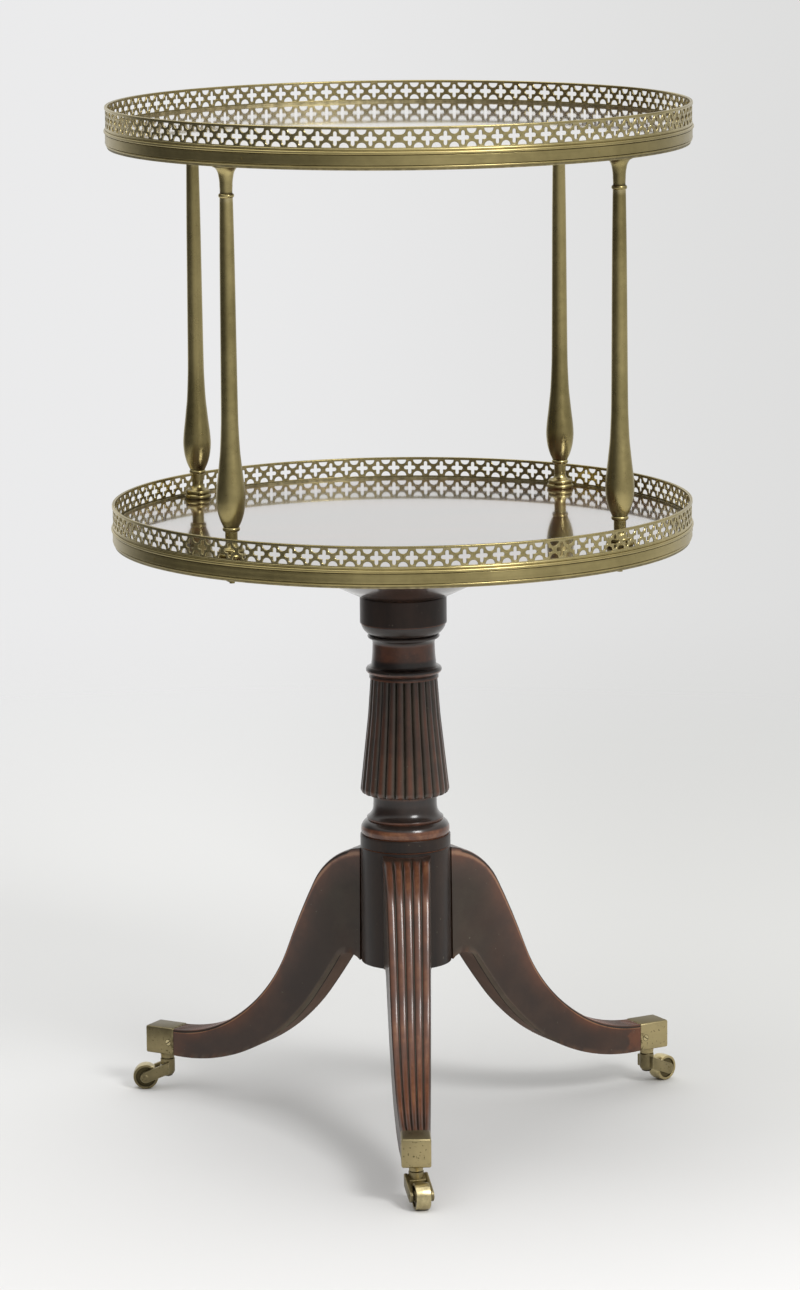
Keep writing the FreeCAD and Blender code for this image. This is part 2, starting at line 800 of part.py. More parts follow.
def gallery():
    """Cast lengths of pierced strip that stand end to end on the rim's lip."""
    inner = gallery_radius - gallery_thickness
    rail_foot = rim_height + gallery_foot_height + gallery_pierced_height
    rail_top = rail_foot + gallery_rail_height
    rail_in = inner - gallery_rail_overhang
    rail_out = gallery_radius + gallery_rail_overhang
    rail_side = rail_foot + gallery_rail_height / 2
    strip = turned([
        (inner, rim_height, 0),
        (gallery_radius, rim_height, 0),
        (gallery_radius, rail_foot, 0),
        (rail_out, rail_foot, 0),
        (rail_out, rail_side, 0),
        (gallery_radius, rail_top, quarter_bulge_share),
        (inner, rail_top, 0),
        (rail_in, rail_side, quarter_bulge_share),
        (rail_in, rail_foot, 0),
        (inner, rail_foot, 0),
    ], 360 / gallery_length_count)
    cross, rounds = motif_tools()
    tools = []
    for index in range(gallery_motifs_per_length):
        tools.append(spun(cross, (index + 1 / 2) * motif_deg))
    for index in range(gallery_motifs_per_length + 1):
        tools += [spun(tool, index * motif_deg) for tool in rounds]
    return ring_of(strip.cut(tools), gallery_length_count, gallery_start_deg)


# Columns, made on the Z axis at their final height
def column_base():
    ring_root = column_base_radius - column_base_ring_swell
    upper_root = ring_root - column_base_step
    ring_bulge = column_base_ring_swell / column_base_ring_height
    hollow_top = (2 * column_base_ring_height + column_base_height) / 2
    body = turned(raised([
        (0, 0, 0),
        (ring_root, 0, 0),
        (ring_root, column_base_ring_height, ring_bulge),
        (upper_root, column_base_ring_height, 0),
        (upper_root, 2 * column_base_ring_height, ring_bulge),
        ((upper_root + column_neck_radius) / 2, 2 * column_base_ring_height, 0),
        (column_neck_radius, hollow_top, column_neck_hollow_share),
        (column_neck_radius, column_base_height, 0),
        (0, column_base_height, 0),
    ], column_foot_z))
    return body.cut(rod(stud_radius + stud_fit, column_foot_z - overrun, shaft_foot_z + overrun))


def column_shaft():
    collar_root = column_collar_radius - column_collar_swell
    foot = [(0, 0, 0), (collar_root, 0, 0)]
    foot += [(collar_root, column_collar_height, column_collar_swell / column_collar_height)]
    foot += [(column_bulb_radius * column_shaft_foot_share, column_collar_height, 0)]
    spread = []
    for height, girth in column_shaft_shares:
        spread.append((column_bulb_radius * girth, column_shaft_height * height))
    curve_points = [FreeCAD.Vector(foot[-1][0], 0, foot[-1][1])]
    curve_points += [FreeCAD.Vector(x, 0, z) for x, z in spread]
    curve = Part.BSplineCurve()
    curve.interpolate(curve_points)
    top_x, top_z = spread[-1]
    head = [(top_x, top_z, 0), (0, top_z, 0), (0, 0, 0)]
    face = Part.Face(Part.Wire(runs(foot) + [curve.toShape()] + runs(head)))
    body = moved(face.revolve(origin, up, 360), 0, 0, shaft_foot_z)
    hole = stud_radius + stud_fit
    foot_hole = rod(hole, shaft_foot_z - overrun, shaft_foot_z + stud_grip + stud_fit)
    head_hole = rod(hole, column_cap_z - stud_grip - stud_fit, column_cap_z + overrun)
    return body.cut([foot_hole, head_hole])


def column_cap():
    ring_root = column_cap_ring_radius - column_cap_ring_swell
    flare_z = column_cap_height * column_cap_flare_share
    edge_z = column_cap_height - column_cap_edge_height
    body = turned(raised([
        (0, 0, 0),
        (ring_root, 0, 0),
        (ring_root, column_cap_ring_height, column_cap_ring_swell / column_cap_ring_height),
        (column_neck_radius, column_cap_ring_height, 0),
        (column_neck_radius, flare_z, 0),
        (column_cap_radius - column_cap_step, edge_z, column_cap_bulge_share),
        (column_cap_radius, edge_z, 0),
        (column_cap_radius, column_cap_height, 0),
        (0, column_cap_height, 0),
    ], column_cap_z))
    return body.cut(rod(stud_radius + stud_fit, column_cap_z - overrun, upper_tier_z + overrun))


def column_nut():
    corner = nut_across_flats / math.sqrt(3)
    plan = [(corner * math.cos(k * math.pi / 3), corner * math.sin(k * math.pi / 3)) for k in range(6)]
    top_z = lower_tier_z - washer_thickness
    nut = prism(plan, top_z - nut_height, top_z)
    return nut.cut(rod(stud_radius + stud_fit, top_z - nut_height - overrun, lower_tier_z))


def column_washer():
    foot_z = lower_tier_z - washer_thickness
    hole = rod(stud_radius + stud_fit, foot_z - overrun, lower_tier_z + overrun)
    return rod(washer_radius, foot_z, lower_tier_z).cut(hole)


os.makedirs("parts", exist_ok=True)

# Trays
stud_hole = stud_radius + stud_fit
lower_board = moved(board(lower_pin_azimuth_deg), 0, 0, lower_tier_z)
lower_holes = at_columns(rod(stud_hole, lower_tier_z - overrun, column_foot_z + overrun))
lower_holes += dome_screws(wood_screw_hole(dome_screw_length, dome_height))
save("lower_board", [lower_board.cut(lower_holes)])
upper_board = moved(board(upper_pin_azimuth_deg), 0, 0, upper_tier_z)
upper_holes = at_columns(rod(stud_hole, upper_tier_z - overrun, upper_tier_z + top_stud_depth + stud_fit))
save("upper_board", [upper_board.cut(upper_holes)])
for tier, tier_z, pin_deg in (
    ("lower", lower_tier_z, lower_pin_azimuth_deg),
    ("upper", upper_tier_z, upper_pin_azimuth_deg),
):
    save(tier + "_rim_band", [moved(rim_band(pin_deg), 0, 0, tier_z)])
    save(tier + "_rim_pins", [moved(pin, 0, 0, tier_z) for pin in rim_pins(pin_deg)])
    save(tier + "_gallery", [moved(length, 0, 0, tier_z) for length in gallery()])

# Columns and their fixings
for piece, shape in (("base", column_base()), ("shaft", column_shaft()), ("cap", column_cap())):
    for name, copy in zip(column_azimuth_deg, at_columns(shape)):
        save(name + "_column_" + piece, [copy])
bottom_stud = rod(stud_radius, lower_tier_z - stud_tail, shaft_foot_z + stud_grip)
top_stud = rod(stud_radius, column_cap_z - stud_grip, upper_tier_z + top_stud_depth)
save("column_bottom_studs", at_columns(bottom_stud))
save("column_top_studs", at_columns(top_stud))
save("column_nuts", at_columns(column_nut()))
save("column_washers", at_columns(column_washer()))

# Dome, pillar and tie plate
save("dome_block", [dome_block()])
save("dome_screws", dome_screws(wood_screw(dome_screw_length)))
save("pillar", [pillar()])
save("leg_tie_plate", [tie_plate()])
save("tie_plate_screws", plate_screws(wood_screw(plate_screw_length)))

# Legs, toe caps and casters
leg_shape = leg()
cap_shape = toe_cap()
cap_screws = []
for name, degrees in leg_azimuth_deg.items():
    save(name + "_leg", [spun(leg_shape, degrees)])
    save(name + "_toe_cap", [spun(cap_shape, degrees)])
    cap_screws += [spun(cap_screw(side), degrees) for side in (1, -1)]
    pivot = spun(moved(Part.Vertex(origin), pivot_reach, 0, 0), degrees).Point
    for piece, shape in (
        ("pintle", caster_pintle()),
        ("fork", caster_fork()),
        ("wheel", caster_wheel()),
        ("axle", caster_axle()),
    ):
        save(name + "_caster_" + piece, [moved(spun(shape, caster_rest_deg[name]), pivot.x, pivot.y, 0)])
save("toe_cap_screws", cap_screws)
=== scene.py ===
# %% [markdown]
# # A two-tier etagere
# Two round mahogany trays with pierced brass galleries stand one above the other on four turned
# brass columns. A turned and reeded mahogany pillar on three sabre legs carries them, and each leg
# ends in a brass toe cap on a swivelling caster. The packed model already has every piece in its
# place, so this lesson makes the visible pieces again with softer edges and gives them old finishes.

# %% Load the packed frame
import math

import bmesh
import bpy
from mathutils import Matrix, Vector


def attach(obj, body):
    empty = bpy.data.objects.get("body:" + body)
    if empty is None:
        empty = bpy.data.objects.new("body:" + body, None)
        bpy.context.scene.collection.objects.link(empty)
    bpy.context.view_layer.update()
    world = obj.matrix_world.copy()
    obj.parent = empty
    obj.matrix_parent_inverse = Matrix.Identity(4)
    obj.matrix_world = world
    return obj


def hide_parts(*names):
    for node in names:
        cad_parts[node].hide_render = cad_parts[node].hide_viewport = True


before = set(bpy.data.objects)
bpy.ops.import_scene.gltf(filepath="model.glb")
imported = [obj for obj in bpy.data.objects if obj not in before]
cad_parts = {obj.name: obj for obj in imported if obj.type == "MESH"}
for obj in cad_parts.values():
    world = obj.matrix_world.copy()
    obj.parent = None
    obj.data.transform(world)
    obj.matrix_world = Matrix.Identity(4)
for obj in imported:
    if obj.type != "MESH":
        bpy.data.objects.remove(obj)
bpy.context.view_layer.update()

# %% [markdown]
# ## Profiles for the lathe
# Nearly everything here was turned on a lathe, so a piece starts as half of its outline. Each corner
# is (radius, height, bow): the run that ends there bows to the right of its travel by that share of
# its length, as a turner would draw a bead (plus) or a hollow (minus). A straight run gets a guard
# point near both ends, which keeps the wear that is marked later close to the arris.

# %% Half outlines
ARC_STEP = math.radians(11)
GUARD = 1.1


def bowed_run(start, end, bow, arc_step=ARC_STEP):
    """Points after start, up to end, along a circular run."""
    (x0, z0), (x1, z1) = start, end
    chord = math.hypot(x1 - x0, z1 - z0)
    if bow == 0:
        if chord < 3 * GUARD:
            return [end]
        near, far = GUARD / chord, 1 - GUARD / chord
        return [(x0 + (x1 - x0) * t, z0 + (z1 - z0) * t) for t in (near, far, 1)]
    half_angle = 2 * math.atan(2 * bow)
    radius = chord / 2 / math.sin(half_angle)
    cuts = max(3, math.ceil(2 * abs(half_angle) / arc_step))
    points = []
    for index in range(1, cuts + 1):
        angle = half_angle * (2 * index / cuts - 1)
        along = 0.5 + radius * math.sin(angle) / chord
        aside = radius * (math.cos(angle) - math.cos(half_angle)) / chord
        points.append((x0 + (x1 - x0) * along + (z1 - z0) * aside,
                       z0 + (z1 - z0) * along - (x1 - x0) * aside))
    return points


def outline(corners, lift=0):
    """The whole half outline as (radius, height) points."""
    points = [(corners[0][0], corners[0][1] + lift)]
    for x, z, bow in corners[1:]:
        points += bowed_run(points[-1], (x, z + lift), bow)
    return points


print("arc step", round(math.degrees(ARC_STEP)), "degrees, guard points at", GUARD, "mm")

# %% [markdown]
# ## Turning and placing
# A Screw modifier could turn an outline too. A bmesh spin is used, because the turned piece can then be
# marked, moved to its place and joined with others before it becomes a mesh. A full spin merges its
# first and last copies, and points on the axis are welded into one pole.

# %% Turning
WELD = 0.0005


def turn(bm, points, sides, ring=False):
    """Spins an outline round the Z axis; a ring's outline closes on itself."""
    before = set(bm.verts)
    line = [bm.verts.new((x, 0, z)) for x, z in points]
    pairs = list(zip(line, line[1:] + line[:1] if ring else line[1:]))
    edges = [bm.edges.new(pair) for pair in pairs]
    bmesh.ops.spin(bm, geom=line + edges, cent=(0, 0, 0), axis=(0, 0, 1), dvec=(0, 0, 0),
                   angle=2 * math.pi, steps=sides, use_merge=True)
    made = [vert for vert in bm.verts if vert not in before]
    bmesh.ops.remove_doubles(bm, verts=made, dist=WELD)
    return [vert for vert in bm.verts if vert not in before]


def place(bm, verts, turn_deg=0, shift=(0, 0, 0)):
    """Turns vertices about the Z axis and then shifts them."""
    matrix = Matrix.Translation(shift) @ Matrix.Rotation(math.radians(turn_deg), 4, "Z")
    bmesh.ops.transform(bm, matrix=matrix, verts=verts)


print("seams and poles weld within", WELD, "mm")

# %% [markdown]
# ## Wear, dirt and painted shade
# Handling rubs polish off every sharp arris, and dirt settles where two surfaces meet inwards. Inward
# corners are also darkened for the shade that falls in them, so the corner mark is part dirt and part
# painted shade. Both could be painted by hand. They are read from the mesh instead, so that they always
# fit it: the angle between two faces is positive over an arris and negative in a corner. Two attributes
# keep the result for the finishes: one for wear, one for dirt with painted shade.

# %% Marking wear
WEAR_START, WEAR_FULL = 0.35, 1.1


def mark_edges(bm):
    """Stores how sharp the outward edges (wear) and the inward edges (dirt and painted shade) at each
    vertex are.
    """
    bm.normal_update()
    wear = bm.verts.layers.float.get("wear") or bm.verts.layers.float.new("wear")
    grime = bm.verts.layers.float.get("grime") or bm.verts.layers.float.new("grime")
    for vert in bm.verts:
        bends = [edge.calc_face_angle_signed(0) for edge in vert.link_edges if len(edge.link_faces) == 2]
        sharpest, deepest = max(bends, default=0), min(bends, default=0)
        vert[wear] = max(vert[wear], min(1, max(0, (sharpest - WEAR_START) / WEAR_FULL)))
        # inward corners: dirt and painted shade together
        vert[grime] = max(vert[grime], min(1, max(0, (-deepest - WEAR_START) / WEAR_FULL)))


print("arrises show wear from", round(math.degrees(WEAR_START)), "degrees on")

# %% [markdown]
# ## Handing a piece over
# The shapes are drawn in millimetres, as a maker measures, and Blender works in metres, so each mesh is
# scaled once at the end. The piece then rides on a packed body and takes the place of the packed nodes
# that it stands for. Its object stays at the origin, so that the patterns of its finish stay put.

# %% Making pieces
MM = 0.001


def piece(name, bm, body, finish, nodes, sharp_deg=32, marked=True):
    """Turns a bmesh in millimetres into an object that stands for packed nodes."""
    bmesh.ops.recalc_face_normals(bm, faces=bm.faces)
    if marked:
        mark_edges(bm)
    bmesh.ops.scale(bm, vec=(MM, MM, MM), verts=bm.verts)
    mesh = bpy.data.meshes.new(name)
    bm.to_mesh(mesh)
    bm.free()
    mesh.shade_smooth()
    mesh.set_sharp_from_angle(angle=math.radians(sharp_deg))
    mesh.materials.append(finish)
    made = bpy.data.objects.new(name, mesh)
    bpy.context.scene.collection.objects.link(made)
    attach(made, body)
    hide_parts(*nodes)
    print(name, len(mesh.polygons), "faces")
    return made


print("drawn in millimetres, scaled by", MM)

# %% [markdown]
# ## Shader sums that read like sums
# A finish is a small recipe of masks. Its nodes could be added and linked one by one, but then the
# recipe is hard to read. Wrapping a socket in a class lets a mask be written as plain arithmetic, and
# one method makes any other node from its type, its settings and its inputs.

# %% The socket wrapper
class Mask:
    """One output socket of a node tree."""

    def __init__(self, tree, socket=None):
        self.tree = tree
        self.socket = socket

    def node(self, kind, settings=None, inputs=None, output=0):
        made = self.tree.nodes.new(kind)
        for name, value in (settings or {}).items():
            setattr(made, name, value)
        for name, value in (inputs or {}).items():
            if isinstance(value, Mask):
                self.tree.links.new(value.socket, made.inputs[name])
            else:
                made.inputs[name].default_value = value
        return Mask(self.tree, made.outputs[output])

    def math(self, operation, first, second=0.0):
        return self.node("ShaderNodeMath", {"operation": operation}, {0: first, 1: second})

    def __add__(self, other):
        return self.math("ADD", self, other)

    def __radd__(self, other):
        return self.math("ADD", other, self)

    def __sub__(self, other):
        return self.math("SUBTRACT", self, other)

    def __rsub__(self, other):
        return self.math("SUBTRACT", other, self)

    def __mul__(self, other):
        return self.math("MULTIPLY", self, other)

    def __rmul__(self, other):
        return self.math("MULTIPLY", other, self)

    def larger(self, other):
        return self.math("MAXIMUM", self, other)

    def ramp(self, low, high):
        """0 at low and 1 at high, eased at both ends."""
        return self.node("ShaderNodeMapRange", {"interpolation_type": "SMOOTHSTEP"},
                         {"Value": self, "From Min": low, "From Max": high})

    def between(self, low, high, soft):
        """1 between two levels, fading over soft outside them."""
        return self.ramp(low - soft, low) * self.ramp(high + soft, high)

    def blend(self, start, end):
        """A colour from start to end by this mask."""
        return self.node("ShaderNodeMix", {"data_type": "RGBA"}, {0: self, 6: start, 7: end}, 2)

    def axis(self, name):
        return self.node("ShaderNodeSeparateXYZ", None, {0: self}, name)

    def stretched(self, x, y, z):
        """A vector multiplied along its axes."""
        return self.node("ShaderNodeVectorMath", {"operation": "MULTIPLY"}, {0: self, 1: (x, y, z)})

    def noise(self, scale, detail=3.0, rough=0.55):
        return self.node("ShaderNodeTexNoise", None,
                         {"Vector": self, "Scale": scale, "Detail": detail, "Roughness": rough}, "Fac")

    def stored(self, name):
        """A value that the mesh carries."""
        return self.node("ShaderNodeAttribute", {"attribute_name": name}, None, "Fac")

    def bump(self, strength, distance):
        return self.node("ShaderNodeBump", None,
                         {"Strength": strength, "Distance": distance, "Height": self}, "Normal")


print("a mask can:", ", ".join(name for name in vars(Mask) if not name.startswith("_")))

# %% [markdown]
# ## Starting a finish
# Every finish starts alike: a new material, the settings that are the same all over it, and the
# object's own coordinates, which stay with the piece when it moves. What changes over the surface is
# linked to the shader at the end.

# %% A new finish
def new_finish(name, **constants):
    """A material, its Principled shader, a mask to start from, and the object's own coordinates."""
    finish = bpy.data.materials.new(name)
    finish.use_nodes = True
    tree = finish.node_tree
    shader = tree.nodes["Principled BSDF"]
    for socket, value in constants.items():
        shader.inputs[socket.replace("_", " ")].default_value = value
    start = Mask(tree)
    spot = start.node("ShaderNodeTexCoord", None, None, "Object")
    return finish, shader, start, spot


def feed(shader, **masks):
    for socket, mask in masks.items():
        mask.tree.links.new(mask.socket, shader.inputs[socket.replace("_", " ")])


print("helpers for finishes:", new_finish.__name__, feed.__name__)

# %% [markdown]
# ## Old brass
# The brass was lacquered once and has gone olive-gold, with brown tarnish in the grooves and paler
# metal where hands and cloths rub. A picture of old metal would leave seams on rings and turnings, so
# two sizes of noise mix a dull and a bright tone, and the stored edge marks brighten arrises and darken
# corners and recesses, partly as dirt and partly as painted shade. One setting paints the left side of a
# piece darker, as shade. Drawn strip also shows faint lines along its length, from noise stretched round
# the ring.

# %% Brass recipe
GOLD_BRASS = (0.24, 0.195, 0.080, 1), (0.56, 0.465, 0.215, 1)
CASTER_BRASS = (0.12, 0.10, 0.055, 1), (0.47, 0.385, 0.20, 1)
BRASS_TARNISH_AND_SHADE = (0.045, 0.036, 0.016, 1)
BRASS_RUBBED = (0.70, 0.60, 0.34, 1)


def old_brass(name, tones, dullness, specks, polish, drawn=0.0, left_shade=0.0, darkened=None):
    """tones are dull and bright metal; one setting paints the left side darker as shade; a mask adds
    tarnish and painted shade in given places.
    """
    dull, bright = tones
    finish, shader, start, spot = new_finish(name, Metallic=1.0)
    clouds = spot.noise(9.0, 3.0).ramp(0.30, 0.72)
    fine = spot.noise(160.0, 4.0, 0.6).ramp(0.30, 0.75)
    turned = start.math("ARCTAN2", spot.axis("Y"), spot.axis("X"))
    lines = start.node("ShaderNodeCombineXYZ", None, {0: turned * 1.2, 1: spot.axis("Z") * 900.0})
    lines = lines.noise(1.0, 2.0).ramp(0.35, 0.7)
    # the X term paints the left side darker and the right side lighter, as shade and light
    tone = clouds * 0.7 + fine * 0.12 + lines * drawn + spot.axis("X") * left_shade + (0.2 - dullness)
    colour = tone.blend(dull, bright)
    spotted = spot.noise(420.0, 2.0, 0.6).ramp(0.62, 0.72) * specks
    # dark places: tarnish specks, and the corner mark, which is dirt and painted shade
    dark = (start.stored("grime") * 0.85).larger(spotted)
    if darkened:
        dark = dark.larger(darkened(start, spot))
    colour = dark.blend(colour, BRASS_TARNISH_AND_SHADE)
    rubbed = start.stored("wear") * (0.35 + fine * 0.5)
    colour = rubbed.blend(colour, BRASS_RUBBED)
    rough = polish + fine * 0.05 + dark * 0.25 - rubbed * 0.06
    relief = (fine * 0.3 + lines * drawn).bump(0.03, 0.0005)
    feed(shader, Base_Color=colour, Roughness=rough, Normal=relief)
    return finish


print("dull and bright brass:", GOLD_BRASS[0][:3], GOLD_BRASS[1][:3])

# %% [markdown]
# ## Where the brass stays dark
# Polishing cloths don't reach into the grooves of the rims, the walls of the piercings or the joint
# beside a toe cap. These places lie at known distances from the upright axis, so a mask of that
# distance finds them without a painted map. The top of each toe cap is darkened too, more towards the
# right: that is painted shade, found by height.

# %% Dark places on the brass
GROOVE_MOUTH, GROOVE_FLOOR = 239.5, 238.95
PIERCED_FRONT, PIERCED_BACK = (239.75, 239.5), (238.6, 238.8)
CAP_JOINT, CAP_SHADED_TOP = (231.0, 226.2), (0.0561, 0.0567)


def from_axis(start, spot):
    """Distance from the upright axis in millimetres."""
    flat = spot.stretched(1000.0, 1000.0, 0.0)
    return start.node("ShaderNodeVectorMath", {"operation": "LENGTH"}, {0: flat}, "Value")


def rim_grooves(start, spot):
    return from_axis(start, spot).ramp(GROOVE_MOUTH, GROOVE_FLOOR) * 0.9


def pierced_walls(start, spot):
    reach = from_axis(start, spot)
    return reach.ramp(*PIERCED_FRONT) * reach.ramp(*PIERCED_BACK) * 0.4


def cap_specks_and_top_shade(start, spot):
    """Specks of old polish beside the joint of toe cap and leg, and painted shade on top of the cap, more
    on the right.
    """
    specks = from_axis(start, spot).ramp(*CAP_JOINT) * spot.noise(330.0, 2.0).ramp(0.48, 0.60) * 0.8
    # painted shade on the top face, stronger towards the right
    top = spot.axis("Z").ramp(*CAP_SHADED_TOP) * (0.2 + spot.axis("X").ramp(-0.2, 0.2) * 0.5)
    return specks.larger(top)


rim_brass = old_brass("rim_brass", GOLD_BRASS, 0.10, 0.08, 0.29, drawn=0.10, darkened=rim_grooves)
gallery_brass = old_brass("gallery_brass", GOLD_BRASS, 0.10, 0.12, 0.26, darkened=pierced_walls)
column_brass = old_brass("column_brass", GOLD_BRASS, 0.15, 0.15, 0.27)
# the caster finishes paint their left side darker, as shade
caster_brass = old_brass("caster_brass", CASTER_BRASS, 0.05, 0.7, 0.33, left_shade=1.9, darkened=cap_specks_and_top_shade)
horn_brass = old_brass("horn_brass", CASTER_BRASS, 0.32, 0.55, 0.38, left_shade=0.6)
brasses = (rim_brass, gallery_brass, column_brass, caster_brass, horn_brass)
print("brass finishes:", ", ".join(brass.name for brass in brasses))

# %% [markdown]
# ## Old mahogany
# Many coats of polish have turned the mahogany nearly black, and it shows red-brown where they are
# worn: on arrises, on the swellings of the turning and on the reeds. The grooves between the reeds hold
# a grey-green dust of old wax, and grooves and corners are darkened, partly as dirt and partly as painted
# shade. On the flanks of the vase's reeds the same grey dust also paints their sheen. One recipe lays
# these tones over each other by the marks that a mesh carries, so the same wood can look different on
# each piece.

# %% Mahogany recipe
WOOD_DARK = (0.012, 0.0098, 0.0088, 1)
WOOD_BROWN = (0.054, 0.031, 0.021, 1)
WOOD_RED = (0.130, 0.047, 0.023, 1)
WOOD_ORANGE = (0.245, 0.115, 0.055, 1)
GROOVE_DIRT_AND_SHADE = (0.006, 0.0045, 0.0035, 1)
WAX_DUST_AND_SHEEN = (0.150, 0.135, 0.095, 1)
WOOD_BARE = (0.120, 0.066, 0.040, 1)


def old_mahogany(name, faded, redness, grain, shine, polish, worn=None, glossy=None, coat=0.0):
    """grain stretches the figure; worn and glossy make masks of the rubbed and the burnished places."""
    finish, shader, start, spot = new_finish(name, Specular_IOR_Level=shine, Coat_Weight=coat,
                                              Coat_Roughness=0.16)
    clouds = spot.noise(11.0, 4.0, 0.6).ramp(0.35, 0.75)
    figure = spot.stretched(*grain).noise(1.0, 5.0, 0.6).ramp(0.35, 0.72)
    colour = (faded + clouds * 0.3 + figure * (0.5 * redness)).blend(WOOD_DARK, WOOD_BROWN)
    patches = spot.noise(34.0, 4.0, 0.65).ramp(0.30, 0.70)
    colour = (spot.noise(7.0, 3.0).ramp(0.45, 0.75) * (0.35 * redness)).blend(colour, WOOD_RED)
    rub = start.stored("wear") * (0.45 + patches * 0.55)
    if worn:
        rub = rub.larger(worn(start, spot) * (0.35 + patches * 0.65))
    colour = rub.ramp(0.0, 0.75).blend(colour, WOOD_RED)
    colour = rub.ramp(0.55, 1.0).blend(colour, WOOD_ORANGE)
    bare = start.stored("bare")
    colour = (bare * (0.6 + patches * 0.4)).blend(colour, WOOD_BARE)
    # grooves and corners: dirt and painted shade
    colour = (start.stored("grime") * 0.85).blend(colour, GROOVE_DIRT_AND_SHADE)
    # grey dust, which on the flanks of the vase's reeds also paints their sheen
    dust = start.stored("dust") * (0.45 + patches * 0.55)
    colour = dust.blend(colour, WAX_DUST_AND_SHEEN)
    chips = spot.noise(300.0, 2.0).ramp(0.735, 0.76) * 0.5
    colour = chips.blend(colour, WAX_DUST_AND_SHEEN)
    rough = polish + clouds * 0.06 + figure * 0.04 + dust * 0.35 + bare * 0.5
    feed(shader, Base_Color=colour, Roughness=rough, Normal=(figure + patches * 0.4).bump(0.06, 0.0008))
    if glossy:
        feed(shader, Coat_Weight=glossy(start, spot))
    return finish


print("mahogany from", WOOD_DARK[:3], "to", WOOD_ORANGE[:3])

# %% [markdown]
# ## Where the mahogany is rubbed
# Hands and cloths rub the swellings of the pillar and burnish its turned part, and feet rub the ends of
# the legs. Such places belong to a height or to a distance from the axis, so they are masks too. A clear
# coat stands for the burnish, because it adds a sharp gloss over the dull wood.

# %% Worn and burnished places
TORUS, FLARE = (0.2530, 0.2580, 0.002), (0.2640, 0.2655, 0.0008)
COLLAR, NECK = (0.3875, 0.3905, 0.001), (0.4020, 0.4130, 0.004)
TURNED_PART = 0.2530, 0.4305, 0.002
REED_SHINE = 0.07, 0.15
TOE_END, BLOCK_JOINT = (221.0, 226.0), (37.8, 38.5, 0.4)


def worn_swellings(start, spot):
    """The torus, flare, collar and neck of the pillar, by height in metres."""
    height = spot.axis("Z")
    swellings = height.between(*TORUS)
    for level, share in ((FLARE, 0.7), (COLLAR, 0.85), (NECK, 0.62)):
        swellings = swellings.larger(height.between(*level) * share)
    return swellings


def burnished_turning(start, spot):
    """Cloths reach the turned part of the pillar better than the block between the legs."""
    return spot.axis("Z").between(*TURNED_PART) * 0.65


def burnished_reeds(start, spot):
    return start.stored("wear") * spot.axis("Z").ramp(*REED_SHINE) * 0.7


def worn_ends(start, spot):
    """Feet and brooms rub the leg beside the toe cap, and its joint with the pillar shows."""
    reach = from_axis(start, spot)
    ragged = reach + spot.noise(120.0, 2.0) * 16.0
    toe = ragged.ramp(*TOE_END) * (0.2 + spot.axis("X").ramp(-0.3, 0.2) * 0.4)
    return toe.larger(reach.between(*BLOCK_JOINT) * 0.5)


pillar_wood = old_mahogany("pillar_mahogany", 0.0, 0.6, (60.0, 60.0, 7.0), 0.25, 0.27,
                           worn_swellings, burnished_turning)
leg_wood = old_mahogany("leg_mahogany", 0.45, 0.9, (26.0, 26.0, 26.0), 0.36, 0.29,
                        worn_ends, burnished_reeds)
dome_wood = old_mahogany("dome_mahogany", 0.2, 1.0, (14.0, 90.0, 90.0), 1.0, 0.10, coat=0.7)
print("wood finishes:", pillar_wood.name, leg_wood.name, dome_wood.name)

# %% [markdown]
# ## Polished boards
# The boards are french-polished and mirror the gallery and the room. Plain gloss would look like
# plastic, so the figured wood lies under a clear coat with a high index, which mirrors more at low
# angles, and a faint bump makes the mirror image waver.

# %% Board polish
BOARD_RED = (0.135, 0.044, 0.021, 1)


def polished_top(name):
    """Figured wood under a clear, slightly uneven gloss."""
    finish, shader, start, spot = new_finish(name, Roughness=0.12, Coat_Weight=1.0, Coat_Roughness=0.045,
                                              Coat_IOR=1.75, Specular_IOR_Level=0.8)
    figure = spot.stretched(5.0, 38.0, 38.0).noise(1.0, 6.0, 0.62)
    streaks = spot.stretched(16.0, 210.0, 210.0).noise(1.0, 4.0, 0.6).ramp(0.3, 0.75)
    colour = (figure.ramp(0.35, 0.68) * 0.75 + streaks * 0.25).blend(WOOD_DARK, BOARD_RED)
    feed(shader, Base_Color=colour, Normal=spot.noise(22.0, 2.0).bump(0.02, 0.002))
    return finish


board_polish = polished_top("board_polish")
print("board finish:", board_polish.name)

# %% [markdown]
# ## Steel and iron
# The wood screws and the tie plate under the pillar were never polished. They hardly show, so one plain
# recipe serves both: a dull metal with some rust in it.

# %% Hidden metal finishes
def plain_metal(name, clean, rusted, rust):
    finish, shader, start, spot = new_finish(name, Metallic=0.9)
    rusty = spot.noise(140.0, 4.0, 0.65).ramp(0.62 - rust, 0.80 - rust)
    feed(shader, Base_Color=rusty.blend(clean, rusted), Roughness=0.38 + rusty * 0.35)
    return finish


screw_steel = plain_metal("screw_steel", (0.36, 0.35, 0.33, 1), (0.10, 0.07, 0.05, 1), 0.05)
plate_iron = plain_metal("plate_iron", (0.09, 0.085, 0.08, 1), (0.12, 0.055, 0.03, 1), 0.15)
print("metal finishes:", screw_steel.name, plate_iron.name)

# %% [markdown]
# ## The trays
# Each tray is a round board in a drawn brass rim. The rim's outline runs from its foot up: a bevel, a
# small bead, a groove, a nearly flat fascia, a second groove, a bold bead and a ledge that carries the
# gallery. A rim could be swept along a circle, but spinning its outline keeps each groove crisp.

